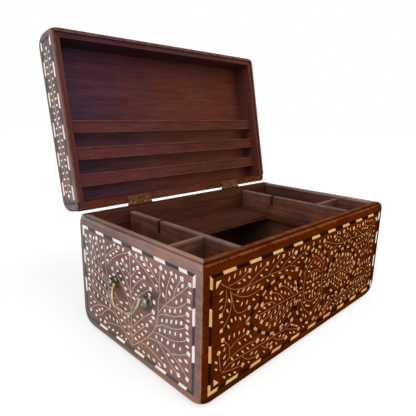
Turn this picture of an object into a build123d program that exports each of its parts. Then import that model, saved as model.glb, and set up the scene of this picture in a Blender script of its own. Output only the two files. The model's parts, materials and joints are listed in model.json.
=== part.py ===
"""Bone inlay box: a mitred hardwood case with trays and a well, and a hinged lid with a letter rack."""
import os

from build123d import *

os.makedirs("parts", exist_ok=True)

# Case: outer length, depth, and height up to the narrow outer ledge of the rim
case_length = 450.0
case_depth = 267.0
case_height = 176.0
wall = 13.0
ledge_width = 5.5
lip_rise = 2.4
corner_round = 5.0
foot_round = 12.0
arris = 0.8
floor_thick = 8.0

# Inside of the case
divider_thick = 8.0
divider_drop = 4.5
end_tray_width = 69.0
partition_thick = 6.0
front_tray_depth = 69.5
slot_width = 6.5
slot_depth = 19.0
slot_from_back = 74.5
shelf_drop = 39.5
shelf_thick = 6.0
shelf_back_depth = 78.5
shelf_strip = 20.0

# Lid: height from its lowest edge to its top, and how far it stands open
lid_height = 52.6
lid_gap = 0.4
lid_panel_thick = 10.6
lid_top_round = 9.0
lid_open_angle = 101.2
batten_width = 19.0
batten_thick = 8.0
batten_pitch = 41.0
first_batten = 36.0
batten_inset = 14.0
bead_from_edge = 3.0
bead_width = 1.2
bead_depth = 0.8

# Inlaid bands of alternating bone and ebony
band_width = 4.4
band_depth = 2.0
band_inset_front = 10.5
band_inset_end = 11.0
band_drop_front = 12.5
band_drop_end = 11.0
band_foot_front = 16.5
band_foot_end = 16.5
band_inset_lid = 4.5
band_inset_crown = 13.0
band_inset_lid_top = 16.0
bone_length = 21.0
shortest_bone = 8.0
bone_pitch = 45.0
bone_slant = 2.2
corner_bone = 15.0
corner_ebony = 12.0
triangle_leg = 8.5
triangle_gap = 5.0
triangle_depth = 1.5

# Butt hinges with three knuckles
hinge_spread = 112.0
hinge_length = 46.0
leaf_width = 11.5
leaf_thick = 1.6
barrel_radius = 2.6
barrel_stand_off = 2.7
pin_radius = 1.1
pin_clearance = 0.05
knuckle_gap = 0.4
screw_spread = 15.5
screw_from_back = 6.5
screw_head_radius = 2.8
screw_head_depth = 1.3
screw_shank_radius = 1.4
screw_length = 9.0
screw_slot_width = 0.8
screw_slot_depth = 0.5

# Bail handles on the two ends
handle_height = 103.5
rose_spread = 39.0
rose_radius = 7.6
rose_edge = 1.2
rose_plate = 2.0
boss_radius = 6.8
boss_shoulder = 7.4
boss_height = 11.2
boss_cheek = 6.2
pivot_stand_off = 6.5
stud_radius = 2.2
stud_length = 9.0
bail_pin_radius = 1.8
bail_pin_clearance = 0.06
bail_pin_end_gap = 1.0
bail_half_width = 29.2
bail_drop = 24.0
bail_bend = 20.0
bail_rest_angle = 21.0
bail_bar_radius = 2.2
bail_elbow_radius = 2.8
bail_grip_step = 0.3
bail_grip_radius = 3.1
bail_ring_radius = 3.4
bail_ring_half = 0.4
bail_ring_pitch = 2.4

# Levels and positions that follow from the sizes above
half_length = case_length / 2
half_depth = case_depth / 2
lip_top = case_height + lip_rise
inner_half_length = half_length - wall
inner_half_depth = half_depth - wall
divider_top = case_height - divider_drop
divider_inner = inner_half_length - end_tray_width - divider_thick
shelf_top = case_height - shelf_drop
shelf_bottom = shelf_top - shelf_thick
well_back = inner_half_depth - shelf_back_depth
well_front = shelf_strip - inner_half_depth
strip_width = ledge_width - lid_gap
lid_base = lip_top + lid_gap
lid_edge = case_height + lid_gap
lid_top = lid_edge + lid_height
lid_panel_under = lid_top - lid_panel_thick
axis_y = half_depth + barrel_stand_off
axis_z = lip_top + lid_gap / 2
knuckle_length = (hinge_length - 2 * knuckle_gap) / 3
overrun = 1.0

# Planes of the four upright faces: along the face, up, and outwards
front_face = Plane(origin=(-half_length, -half_depth, 0), x_dir=(1, 0, 0), z_dir=(0, -1, 0))
left_face = Plane(origin=(-half_length, half_depth, 0), x_dir=(0, -1, 0), z_dir=(-1, 0, 0))
right_face = Plane(origin=(half_length, -half_depth, 0), x_dir=(0, 1, 0), z_dir=(1, 0, 0))
back_face = Plane(origin=(half_length, half_depth, 0), x_dir=(-1, 0, 0), z_dir=(0, 1, 0))

# The lid is drawn shut and turned open about the hinge line
lid_turn = Pos(0, axis_y, axis_z) * Rot(X=-lid_open_angle) * Pos(0, -axis_y, -axis_z)


def shut(plane):
    """A plane of the case stays where it is."""
    return plane


def opened(plane):
    """A plane of the shut lid, turned to where the open lid has it."""
    return Plane(lid_turn * plane.location)


def level(height):
    """A level plane with X to the right and Y to the back."""
    return Plane.XY.offset(height)


def four_corners(low, high):
    """The corners of a rectangle, from two that face each other."""
    return [low, (high[0], low[1]), high, (low[0], high[1])]


def rectangle(plane, low, high):
    """A rectangle between two corners, in the plane's own two directions."""
    with BuildSketch(plane) as sketch:
        with BuildLine():
            Polyline(*four_corners(low, high), close=True)
        make_face()
    return sketch.sketch


def mitred_plan(plane, face):
    """The plan of one wall, mitred at both ends."""
    outer = {
        "front": ((-1, -1), (1, -1)),
        "left": ((-1, 1), (-1, -1)),
        "right": ((1, -1), (1, 1)),
        "back": ((1, 1), (-1, 1)),
    }[face]
    near = [(x * half_length, y * half_depth) for x, y in outer]
    far = [(x * inner_half_length, y * inner_half_depth) for x, y in reversed(outer)]
    with BuildSketch(plane) as sketch:
        with BuildLine():
            Polyline(*near, *far, close=True)
        make_face()
    return sketch.sketch


def outline(plane):
    """The rounded outline that case and lid share."""
    with BuildSketch(plane) as sketch:
        RectangleRounded(case_length, case_depth, corner_round)
    return sketch.sketch


def section_plane(face, along):
    """The plane across a wall, with inwards first and up second, some way along its face."""
    start = face.origin + face.x_dir * along
    return Plane(origin=start, x_dir=-face.z_dir, z_dir=face.x_dir)


def wall_profile(plane, stepped):
    """The section of a case wall: rounded outside at the foot, with a ledge and lip where it is stepped."""
    rim = [(0, lip_top)]
    if stepped:
        rim = [(ledge_width, lip_top), (ledge_width, case_height), (0, case_height)]
    with BuildSketch(plane) as sketch:
        with BuildLine():
            Polyline((0, 0), (wall, 0), (wall, lip_top), *rim, close=True)
        make_face()
        fillet(sketch.vertices().group_by(Axis.Y)[0].sort_by(Axis.X)[0], foot_round)
        chamfer(sketch.vertices().group_by(Axis.Y)[-1], arris)
        if stepped:
            chamfer(sketch.vertices().group_by(Axis.X)[0].sort_by(Axis.Y)[-1], arris)
    return sketch.sketch


def rail_profile(plane, stepped):
    """The section of a lid rail: rounded outside at the top, with a strip that drops onto the ledge."""
    edge = [(0, lid_base), (wall, lid_base)]
    if stepped:
        edge = [(0, lid_edge), (strip_width, lid_edge), (strip_width, lid_base), (wall, lid_base)]
    with BuildSketch(plane) as sketch:
        with BuildLine():
            Polyline(*edge, (wall, lid_top), (0, lid_top), close=True)
        make_face()
        fillet(sketch.vertices().group_by(Axis.Y)[-1].sort_by(Axis.X)[0], lid_top_round)
        chamfer(sketch.vertices().group_by(Axis.Y)[0].sort_by(Axis.X)[0], arris)
    return sketch.sketch


def ring_sides(low, high):
    """The four sides of a band: start corner, direction, way in, and length."""
    across = high[0] - low[0]
    upright = high[1] - low[1]
    return {
        "top": ((low[0], high[1]), (1, 0), (0, -1), across),
        "bottom": ((low[0], low[1]), (1, 0), (0, 1), across),
        "start": ((low[0], high[1]), (0, -1), (1, 0), upright),
        "end": ((high[0], high[1]), (0, -1), (-1, 0), upright),
    }


def bone_spans(length, layout):
    """Where the bones of one side start and end; the last is cut short to leave ebony by the corner."""
    first, starts_in_corner, ends_in_corner = layout
    spans = []
    last = length - corner_ebony - bone_slant
    if starts_in_corner:
        spans.append((0, corner_bone, "start"))
    if ends_in_corner:
        spans.append((length - corner_bone, length, "end"))
        last -= corner_bone
    at = first
    while at + shortest_bone < last:
        spans.append((at, min(at + bone_length, last), "plain"))
        at += bone_pitch
    return spans


def bone_corners(side, span):
    """The four corners of one bone, its ends cut on a slant or mitred."""
    corner, way, inward, length = side
    start, end, kind = span
    inner_start = band_width if kind == "start" else start + bone_slant
    inner_end = length - band_width if kind == "end" else end + bone_slant
    outline = [(start, 0), (end, 0), (inner_end, band_width), (inner_start, band_width)]
    return [
        (corner[0] + way[0] * s + inward[0] * d, corner[1] + way[1] * s + inward[1] * d)
        for s, d in outline
    ]


def band_ring(plane, band):
    """The whole outline of a band."""
    low, high = band["low"], band["high"]
    with BuildSketch(plane) as sketch:
        with BuildLine():
            Polyline(*four_corners(low, high), close=True)
        make_face()
        inner_low = (low[0] + band_width, low[1] + band_width)
        inner_high = (high[0] - band_width, high[1] - band_width)
        with BuildSketch(mode=Mode.SUBTRACT):
            with BuildLine():
                Polyline(*four_corners(inner_low, inner_high), close=True)
            make_face()
    return sketch.sketch


def band_bones(plane, band):
    """The bone pieces of a band."""
    sides = ring_sides(band["low"], band["high"])
    with BuildSketch(plane) as sketch:
        for name, layout in band["layout"].items():
            for span in bone_spans(sides[name][3], layout):
                with BuildLine():
                    Polyline(*bone_corners(sides[name], span), close=True)
                make_face()
    return sketch.sketch


def band_ebony(plane, band):
    """The ebony pieces of a band: all of it that isn't bone."""
    with BuildSketch(plane) as sketch:
        add(band_ring(Plane.XY, band))
        add(band_bones(Plane.XY, band), mode=Mode.SUBTRACT)
    return sketch.sketch


def corner_triangles(plane, band):
    """Four right-angled triangles inside the corners of a band."""
    low, high = band["low"], band["high"]
    reach = band_width + triangle_gap
    corners = [
        ((low[0] + reach, low[1] + reach), (1, 1)),
        ((high[0] - reach, low[1] + reach), (-1, 1)),
        ((high[0] - reach, high[1] - reach), (-1, -1)),
        ((low[0] + reach, high[1] - reach), (1, -1)),
    ]
    with BuildSketch(plane) as sketch:
        for (x, y), (right, up) in corners:
            with BuildLine():
                Polyline((x, y), (x + right * triangle_leg, y), (x, y + up * triangle_leg), close=True)
            make_face()
    return sketch.sketch


# Band layouts: first bone on each side, and whether a bone sits in its corners
front_layout = {
    "top": (19.5, False, False),
    "bottom": (29.5, True, False),
    "start": (37.5, True, True),
    "end": (37.5, True, True),
}
end_layout = {
    "top": (37.0, True, False),
    "bottom": (37.0, False, False),
    "start": (37.0, True, False),
    "end": (39.0, True, False),
}
lid_side_layout = {"top": (14.0, False, True), "bottom": (6.5, False, True)}
lid_top_layout = {
    "top": (23.5, False, False),
    "bottom": (23.5, False, False),
    "start": (27.5, True, True),
    "end": (27.5, True, True),
}

# Corners of the bands on the lid
lid_top_face = opened(level(lid_top))
lid_low = (band_inset_front, lid_edge + band_inset_lid)
lid_long_high = (case_length - band_inset_front, lid_top - band_inset_crown)
lid_short_high = (case_depth - band_inset_front, lid_top - band_inset_crown)
lid_top_reach = (half_length - band_inset_lid_top, half_depth - band_inset_lid_top)

# The band of each face: its outer corners and its layout
front_band = {
    "low": (band_inset_front, band_foot_front),
    "high": (case_length - band_inset_front, case_height - band_drop_front),
    "layout": front_layout,
}
end_band = {
    "low": (band_inset_end, band_foot_end),
    "high": (case_depth - band_inset_end, case_height - band_drop_end),
    "layout": end_layout,
}
lid_long_band = {
    "low": lid_low,
    "high": lid_long_high,
    "layout": lid_side_layout,
}
lid_short_band = {
    "low": lid_low,
    "high": lid_short_high,
    "layout": lid_side_layout,
}
lid_top_band = {
    "low": (-lid_top_reach[0], -lid_top_reach[1]),
    "high": lid_top_reach,
    "layout": lid_top_layout,
}

# Places of the hinges, their screws and the roses
hinge_centres = (-hinge_spread, hinge_spread)
screw_places = [
    (centre + step * screw_spread, half_depth - screw_from_back)
    for centre in hinge_centres
    for step in (-1, 0, 1)
]
rose_places = (-rose_spread, rose_spread)


def screw_holes(plane):
    """Round holes for the shanks of all the screws in one row of hinges."""
    with BuildSketch(plane) as sketch:
        for x, y in screw_places:
            with Locations((x, y)):
                Circle(screw_shank_radius)
    return sketch.sketch


def leaf_pockets(plane):
    """Shallow beds for the hinge leaves."""
    with BuildSketch(plane) as sketch:
        for centre in hinge_centres:
            with Locations((centre, half_depth + (overrun - leaf_width) / 2)):
                Rectangle(hinge_length, leaf_width + overrun)
    return sketch.sketch


def stud_holes(face):
    """Round holes for the studs of the two roses on one end."""
    with BuildSketch(face) as sketch:
        for place in rose_places:
            with Locations((half_depth + place, handle_height)):
                Circle(stud_radius)
    return sketch.sketch


# Outsides of the case and the lid with rounded upright corners, which their boards are trimmed to
with BuildPart() as case_outside:
    extrude(outline(level(0)), amount=lip_top)

with BuildPart() as lid_outside:
    extrude(outline(opened(level(lid_edge))), amount=lid_height)

# Front wall of the case
with BuildPart() as front_board:
    extrude(wall_profile(section_plane(front_face, 0), True), amount=case_length)
    extrude(mitred_plan(level(0), "front"), amount=lip_top, mode=Mode.INTERSECT)
    add(case_outside.part, mode=Mode.INTERSECT)
    extrude(band_ring(front_face, front_band), amount=-band_depth, mode=Mode.SUBTRACT)
    extrude(corner_triangles(front_face, front_band), amount=-triangle_depth, mode=Mode.SUBTRACT)

# Back wall, level across the top to carry the hinges
with BuildPart() as back_board:
    extrude(wall_profile(section_plane(back_face, 0), False), amount=case_length)
    extrude(mitred_plan(level(0), "back"), amount=lip_top, mode=Mode.INTERSECT)
    add(case_outside.part, mode=Mode.INTERSECT)
    extrude(band_ring(back_face, front_band), amount=-band_depth, mode=Mode.SUBTRACT)
    extrude(leaf_pockets(level(lip_top)), amount=-leaf_thick, mode=Mode.SUBTRACT)
    extrude(screw_holes(level(lip_top)), amount=-screw_length, mode=Mode.SUBTRACT)

# Left end wall: its ledge stops short of the back wall
with BuildPart() as left_board:
    extrude(wall_profile(section_plane(left_face, 0), False), amount=wall)
    extrude(wall_profile(section_plane(left_face, wall), True), amount=case_depth - wall)
    extrude(mitred_plan(level(0), "left"), amount=lip_top, mode=Mode.INTERSECT)
    add(case_outside.part, mode=Mode.INTERSECT)
    extrude(band_ring(left_face, end_band), amount=-band_depth, mode=Mode.SUBTRACT)
    extrude(stud_holes(left_face), amount=-stud_length, mode=Mode.SUBTRACT)

# Right end wall
with BuildPart() as right_board:
    extrude(wall_profile(section_plane(right_face, 0), True), amount=case_depth - wall)
    extrude(wall_profile(section_plane(right_face, case_depth - wall), False), amount=wall)
    extrude(mitred_plan(level(0), "right"), amount=lip_top, mode=Mode.INTERSECT)
    add(case_outside.part, mode=Mode.INTERSECT)
    extrude(band_ring(right_face, end_band), amount=-band_depth, mode=Mode.SUBTRACT)
    extrude(stud_holes(right_face), amount=-stud_length, mode=Mode.SUBTRACT)

# Floor between the walls
with BuildPart() as bottom_board:
    floor_low = (-inner_half_length, -inner_half_depth)
    extrude(rectangle(level(0), floor_low, (inner_half_length, inner_half_depth)), amount=floor_thick)


def divider_plan(side):
    """The plan of a divider on one side of the well, given as -1 for left and 1 for right."""
    ends = sorted((side * divider_inner, side * (divider_inner + divider_thick)))
    return rectangle(level(floor_thick), (ends[0], -inner_half_depth), (ends[1], inner_half_depth))


def divider_slot(side):
    """The slot cut down from the top of a divider for a loose cross board."""
    ends = sorted((side * (divider_inner - overrun), side * (divider_inner + divider_thick + overrun)))
    middle = inner_half_depth - slot_from_back
    low = (ends[0], middle - slot_width / 2)
    return rectangle(level(divider_top), low, (ends[1], middle + slot_width / 2))


# Dividers from front to back, with a slot near the back
with BuildPart() as left_divider:
    extrude(divider_plan(-1), amount=divider_top - floor_thick)
    extrude(divider_slot(-1), amount=-slot_depth, mode=Mode.SUBTRACT)

with BuildPart() as right_divider:
    extrude(divider_plan(1), amount=divider_top - floor_thick)
    extrude(divider_slot(1), amount=-slot_depth, mode=Mode.SUBTRACT)


def partition_plan(side):
    """The plan of the cross partition in one end tray."""
    ends = sorted((side * (divider_inner + divider_thick), side * inner_half_length))
    front = front_tray_depth - inner_half_depth
    return rectangle(level(floor_thick), (ends[0], front), (ends[1], front + partition_thick))


# Cross partitions that make a small square tray at each front corner
with BuildPart() as left_partition:
    extrude(partition_plan(-1), amount=divider_top - floor_thick)

with BuildPart() as right_partition:
    extrude(partition_plan(1), amount=divider_top - floor_thick)

# Shelf around the mouth of the well
with BuildPart() as shelf_back:
    back_edge = (divider_inner, inner_half_depth)
    extrude(rectangle(level(shelf_bottom), (-divider_inner, well_back), back_edge), amount=shelf_thick)

with BuildPart() as shelf_front:
    front_edge = (-divider_inner, -inner_half_depth)
    extrude(rectangle(level(shelf_bottom), front_edge, (divider_inner, well_front)), amount=shelf_thick)

with BuildPart() as shelf_left:
    mouth_left = shelf_strip - divider_inner
    extrude(
        rectangle(level(shelf_bottom), (-divider_inner, well_front), (mouth_left, well_back)),
        amount=shelf_thick,
    )

with BuildPart() as shelf_right:
    mouth_right = divider_inner - shelf_strip
    extrude(
        rectangle(level(shelf_bottom), (mouth_right, well_front), (divider_inner, well_back)),
        amount=shelf_thick,
    )

# Rails of the lid, mitred like the walls under them
with BuildPart() as lid_front_rail:
    extrude(rail_profile(opened(section_plane(front_face, 0)), True), amount=case_length)
    extrude(mitred_plan(opened(level(0)), "front"), amount=lid_top, mode=Mode.INTERSECT)
    add(lid_outside.part, mode=Mode.INTERSECT)
    extrude(band_ring(opened(front_face), lid_long_band), amount=-band_depth, mode=Mode.SUBTRACT)

with BuildPart() as lid_back_rail:
    extrude(rail_profile(opened(section_plane(back_face, 0)), False), amount=case_length)
    extrude(mitred_plan(opened(level(0)), "back"), amount=lid_top, mode=Mode.INTERSECT)
    add(lid_outside.part, mode=Mode.INTERSECT)
    extrude(band_ring(opened(back_face), lid_long_band), amount=-band_depth, mode=Mode.SUBTRACT)
    extrude(leaf_pockets(opened(level(lid_base))), amount=leaf_thick, mode=Mode.SUBTRACT)
    extrude(screw_holes(opened(level(lid_base))), amount=screw_length, mode=Mode.SUBTRACT)

strip_stop = wall + lid_gap
strip_run = case_depth - strip_stop

with BuildPart() as lid_left_rail:
    extrude(rail_profile(opened(section_plane(left_face, 0)), False), amount=strip_stop)
    extrude(rail_profile(opened(section_plane(left_face, strip_stop)), True), amount=strip_run)
    extrude(mitred_plan(opened(level(0)), "left"), amount=lid_top, mode=Mode.INTERSECT)
    add(lid_outside.part, mode=Mode.INTERSECT)
    extrude(band_ring(opened(left_face), lid_short_band), amount=-band_depth, mode=Mode.SUBTRACT)

with BuildPart() as lid_right_rail:
    extrude(rail_profile(opened(section_plane(right_face, 0)), True), amount=strip_run)
    extrude(rail_profile(opened(section_plane(right_face, strip_run)), False), amount=strip_stop)
    extrude(mitred_plan(opened(level(0)), "right"), amount=lid_top, mode=Mode.INTERSECT)
    add(lid_outside.part, mode=Mode.INTERSECT)
    extrude(band_ring(opened(right_face), lid_short_band), amount=-band_depth, mode=Mode.SUBTRACT)

# Top panel of the lid, let in between the rails
with BuildPart() as lid_panel:
    panel_low = (-inner_half_length, -inner_half_depth)
    panel_high = (inner_half_length, inner_half_depth)
    extrude(rectangle(opened(level(lid_panel_under)), panel_low, panel_high), amount=lid_panel_thick)
    extrude(band_ring(lid_top_face, lid_top_band), amount=-band_depth, mode=Mode.SUBTRACT)


def batten_body(order):
    """The outline of a letter-rack batten, counted from the hinges."""
    low = half_depth - first_batten - batten_width - order * batten_pitch
    plane = opened(level(lid_edge + batten_inset))
    return rectangle(plane, (-inner_half_length, low), (inner_half_length, low + batten_width))


def batten_bead(order):
    """The scratched line along the free edge of a batten."""
    low = half_depth - first_batten - batten_width - order * batten_pitch + bead_from_edge
    plane = opened(level(lid_edge + batten_inset))
    return rectangle(plane, (-inner_half_length, low), (inner_half_length, low + bead_width))


# Battens of the letter rack in the lid
with BuildPart() as lower_batten:
    extrude(batten_body(0), amount=batten_thick)
    extrude(batten_bead(0), amount=bead_depth, mode=Mode.SUBTRACT)

with BuildPart() as middle_batten:
    extrude(batten_body(1), amount=batten_thick)
    extrude(batten_bead(1), amount=bead_depth, mode=Mode.SUBTRACT)

with BuildPart() as upper_batten:
    extrude(batten_body(2), amount=batten_thick)
    extrude(batten_bead(2), amount=bead_depth, mode=Mode.SUBTRACT)


def leaf_plate(plane, centre, knuckles):
    """The flat of one hinge leaf, reaching out to its own knuckles."""
    start = centre - hinge_length / 2
    with BuildSketch(plane) as sketch:
        with Locations((centre, half_depth - leaf_width / 2)):
            Rectangle(hinge_length, leaf_width)
        for order in knuckles:
            near = start + order * (knuckle_length + knuckle_gap)
            with Locations((near + knuckle_length / 2, half_depth + barrel_stand_off / 2)):
                Rectangle(knuckle_length, barrel_stand_off)
    return sketch.sketch


def hinge_circle(turned, centre, order, radius):
    """A circle on the hinge line at the start of one knuckle."""
    along = centre - hinge_length / 2 + order * (knuckle_length + knuckle_gap)
    plane = turned(Plane(origin=(along, axis_y, axis_z), x_dir=(0, 1, 0), z_dir=(1, 0, 0)))
    with BuildSketch(plane) as sketch:
        Circle(radius)
    return sketch.sketch


def countersinks(turned, height, way, centre):
    """The screw holes through one leaf, with their sunk mouths."""
    sketches = []
    for step in (-1, 0, 1):
        place = (centre + step * screw_spread, half_depth - screw_from_back, height)
        plane = turned(Plane(origin=place, x_dir=(1, 0, 0), z_dir=(0, -way, 0)))
        with BuildSketch(plane) as sketch:
            with BuildLine():
                Polyline(
                    (0, 0),
                    (screw_head_radius, 0),
                    (screw_shank_radius, -screw_head_depth),
                    (screw_shank_radius, -screw_length),
                    (0, -screw_length),
                    close=True,
                )
            make_face()
        sketches.append((sketch.sketch, Axis(plane.origin, plane.y_dir)))
    return sketches


# Case leaves of the hinges, with the two outer knuckles
with BuildPart() as left_case_leaf:
    extrude(leaf_plate(level(lip_top), -hinge_spread, (0, 2)), amount=-leaf_thick)
    for knuckle in (0, 2):
        extrude(hinge_circle(shut, -hinge_spread, knuckle, barrel_radius), amount=knuckle_length)
    extrude(hinge_circle(shut, -hinge_spread, 0, pin_radius), amount=hinge_length, mode=Mode.SUBTRACT)
    for profile, line in countersinks(shut, lip_top, 1, -hinge_spread):
        revolve(profile, axis=line, mode=Mode.SUBTRACT)

with BuildPart() as right_case_leaf:
    extrude(leaf_plate(level(lip_top), hinge_spread, (0, 2)), amount=-leaf_thick)
    for knuckle in (0, 2):
        extrude(hinge_circle(shut, hinge_spread, knuckle, barrel_radius), amount=knuckle_length)
    extrude(hinge_circle(shut, hinge_spread, 0, pin_radius), amount=hinge_length, mode=Mode.SUBTRACT)
    for profile, line in countersinks(shut, lip_top, 1, hinge_spread):
        revolve(profile, axis=line, mode=Mode.SUBTRACT)

# Lid leaves, with the middle knuckle that runs on the pin
running_radius = pin_radius + pin_clearance

with BuildPart() as left_lid_leaf:
    extrude(leaf_plate(opened(level(lid_base)), -hinge_spread, (1,)), amount=leaf_thick)
    extrude(hinge_circle(opened, -hinge_spread, 1, barrel_radius), amount=knuckle_length)
    extrude(hinge_circle(opened, -hinge_spread, 0, running_radius), amount=hinge_length, mode=Mode.SUBTRACT)
    for profile, line in countersinks(opened, lid_base, -1, -hinge_spread):
        revolve(profile, axis=line, mode=Mode.SUBTRACT)

with BuildPart() as right_lid_leaf:
    extrude(leaf_plate(opened(level(lid_base)), hinge_spread, (1,)), amount=leaf_thick)
    extrude(hinge_circle(opened, hinge_spread, 1, barrel_radius), amount=knuckle_length)
    extrude(hinge_circle(opened, hinge_spread, 0, running_radius), amount=hinge_length, mode=Mode.SUBTRACT)
    for profile, line in countersinks(opened, lid_base, -1, hinge_spread):
        revolve(profile, axis=line, mode=Mode.SUBTRACT)

# Hinge pins, held in the outer knuckles
with BuildPart() as left_hinge_pin:
    extrude(hinge_circle(shut, -hinge_spread, 0, pin_radius), amount=hinge_length)

with BuildPart() as right_hinge_pin:
    extrude(hinge_circle(shut, hinge_spread, 0, pin_radius), amount=hinge_length)


def screw_slots(plane):
    """The driving slots across the heads of all the screws in one row of hinges."""
    with BuildSketch(plane) as sketch:
        for x, y in screw_places:
            with Locations((x, y)):
                Rectangle(2 * screw_head_radius, screw_slot_width)
    return sketch.sketch


# Countersunk screws of the hinges
with BuildPart() as case_hinge_screws:
    for centre in hinge_centres:
        for profile, line in countersinks(shut, lip_top, 1, centre):
            revolve(profile, axis=line)
    extrude(screw_slots(level(lip_top)), amount=-screw_slot_depth, mode=Mode.SUBTRACT)

with BuildPart() as lid_hinge_screws:
    for centre in hinge_centres:
        for profile, line in countersinks(opened, lid_base, -1, centre):
            revolve(profile, axis=line)
    extrude(screw_slots(opened(level(lid_base))), amount=screw_slot_depth, mode=Mode.SUBTRACT)


def rose_profile(plane):
    """Half the section of a rose: stud, plate, boss and dome."""
    dome = boss_height - boss_shoulder
    with BuildSketch(plane) as sketch:
        with BuildLine():
            Polyline(
                (0, boss_height),
                (0, -stud_length),
                (stud_radius, -stud_length),
                (stud_radius, 0),
                (rose_radius, 0),
                (rose_radius, rose_edge),
                (boss_radius, rose_plate),
                (boss_radius, boss_shoulder),
            )
            EllipticalCenterArc((0, boss_shoulder), boss_radius, dome, start_angle=0, arc_size=90)
        make_face()
    return sketch.sketch


def rose_plane(side, place):
    """The plane of a rose's section: away from its middle line first, outwards second."""
    return Plane(origin=(side * half_length, place, handle_height), x_dir=(0, 0, side), z_dir=(0, 1, 0))


def pivot_point(side, place):
    """A point on the pivot line of a bail."""
    return (side * (half_length + pivot_stand_off), place, handle_height)


def hung(side, plane):
    """A plane of a bail that hangs straight down, swung out to where the bail rests."""
    x, y, z = pivot_point(side, 0)
    turn = Pos(x, y, z) * Rot(Y=-side * bail_rest_angle) * Pos(-x, -y, -z)
    return Plane(turn * plane.location)


def cheek_gap(side):
    """The space between the flat inner sides of the two bosses on one end."""
    foot = (side * (half_length + rose_plate), 0, handle_height)
    plane = Plane(origin=foot, x_dir=(0, 1, 0), z_dir=(side, 0, 0))
    reach = rose_spread - boss_cheek
    return rectangle(plane, (-reach, -boss_radius - overrun), (reach, boss_radius + overrun))


def pivot_circle(side, place, radius):
    """A circle on the pivot line of a bail, looking along the line."""
    with BuildSketch(Plane(origin=pivot_point(side, place), x_dir=(1, 0, 0), z_dir=(0, 1, 0))) as sketch:
        Circle(radius)
    return sketch.sketch


def pivot_holes(side):
    """The hole for the bail's pins, through both bosses and the space between them."""
    return pivot_circle(side, -bail_hole_reach, bail_hole_radius)


bail_hole_radius = bail_pin_radius + bail_pin_clearance
bail_hole_reach = rose_spread + boss_radius / 2

# Roses that carry the bails, one pair to each end
with BuildPart() as left_roses:
    for place in rose_places:
        revolve(rose_profile(rose_plane(-1, place)), axis=Axis((0, place, handle_height), (1, 0, 0)))
    extrude(cheek_gap(-1), amount=boss_height, mode=Mode.SUBTRACT)
    extrude(pivot_holes(-1), amount=2 * bail_hole_reach, mode=Mode.SUBTRACT)

with BuildPart() as right_roses:
    for place in rose_places:
        revolve(rose_profile(rose_plane(1, place)), axis=Axis((0, place, handle_height), (1, 0, 0)))
    extrude(cheek_gap(1), amount=boss_height, mode=Mode.SUBTRACT)
    extrude(pivot_holes(1), amount=2 * bail_hole_reach, mode=Mode.SUBTRACT)


def bail_path(side):
    """The middle line of a bail, down one arm, along the grip and up the other."""
    flat = bail_half_width - bail_bend
    bend_start = bail_drop - bail_bend
    upright = Plane(origin=pivot_point(side, 0), x_dir=(0, 1, 0), z_dir=(1, 0, 0))
    with BuildLine(hung(side, upright)) as path:
        Line((-bail_half_width, 0), (-bail_half_width, -bend_start))
        CenterArc((-flat, -bend_start), bail_bend, 180, 90)
        Line((-flat, -bail_drop), (flat, -bail_drop))
        CenterArc((flat, -bend_start), bail_bend, 270, 90)
        Line((bail_half_width, -bend_start), (bail_half_width, 0))
    return path.wires()[0]


def bail_section(side):
    """The round section at the start of a bail's middle line."""
    start = Plane(origin=pivot_point(side, -bail_half_width), x_dir=(1, 0, 0), z_dir=(0, 0, -1))
    with BuildSketch(hung(side, start)) as sketch:
        Circle(bail_bar_radius)
    return sketch.sketch


def grip_plane(side):
    """The plane of a grip's section, with its middle line as the first direction."""
    middle = (side * (half_length + pivot_stand_off), 0, handle_height - bail_drop)
    return hung(side, Plane(origin=middle, x_dir=(0, 1, 0), z_dir=(1, 0, 0)))


def grip_profile(side):
    """Half the section of the swollen grip, with three fine rings round its middle."""
    grip_end = bail_half_width - bail_bend
    grip_start = bail_bar_radius + bail_grip_step
    swell_end = bail_ring_pitch + bail_ring_half
    ring_corners = []
    for ring in (-1, 0, 1):
        near = ring * bail_ring_pitch - bail_ring_half
        far = ring * bail_ring_pitch + bail_ring_half
        ring_corners += [(near, bail_grip_radius), (near, bail_ring_radius)]
        ring_corners += [(far, bail_ring_radius), (far, bail_grip_radius)]
    with BuildSketch(grip_plane(side)) as sketch:
        with BuildLine():
            Line((-grip_end, 0), (-grip_end, grip_start))
            Spline((-grip_end, grip_start), (-swell_end, bail_grip_radius), tangents=((1, 0), (1, 0)))
            Polyline(*ring_corners)
            Spline((swell_end, bail_grip_radius), (grip_end, grip_start), tangents=((1, 0), (1, 0)))
            Polyline((grip_end, grip_start), (grip_end, 0), (-grip_end, 0))
        make_face()
    return sketch.sketch


def elbow_profile(side, place):
    """Half a disc that turns into the ball at the top of one arm."""
    with BuildSketch(Plane(origin=pivot_point(side, place), x_dir=(1, 0, 0), z_dir=(0, -1, 0))) as sketch:
        Circle(bail_elbow_radius)
        with Locations((-bail_elbow_radius, 0)):
            Rectangle(2 * bail_elbow_radius, 2 * bail_elbow_radius, mode=Mode.SUBTRACT)
    return sketch.sketch


def grip_line(side):
    """The line that the grip is turned about."""
    return Axis(grip_plane(side).origin, (0, 1, 0))


def elbow_line(side, place):
    """The upright line that an elbow is turned about."""
    return Axis(pivot_point(side, place), (0, 0, 1))


bail_pin_reach = bail_hole_reach - bail_pin_end_gap
bail_pin_run = bail_pin_reach - bail_half_width

# Bails that hang from the roses
with BuildPart() as left_bail:
    sweep(bail_section(-1), path=bail_path(-1))
    revolve(grip_profile(-1), axis=grip_line(-1))
    for place in (-bail_half_width, bail_half_width):
        revolve(elbow_profile(-1, place), axis=elbow_line(-1, place))
    extrude(pivot_circle(-1, -bail_pin_reach, bail_pin_radius), amount=bail_pin_run)
    extrude(pivot_circle(-1, bail_half_width, bail_pin_radius), amount=bail_pin_run)

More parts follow.
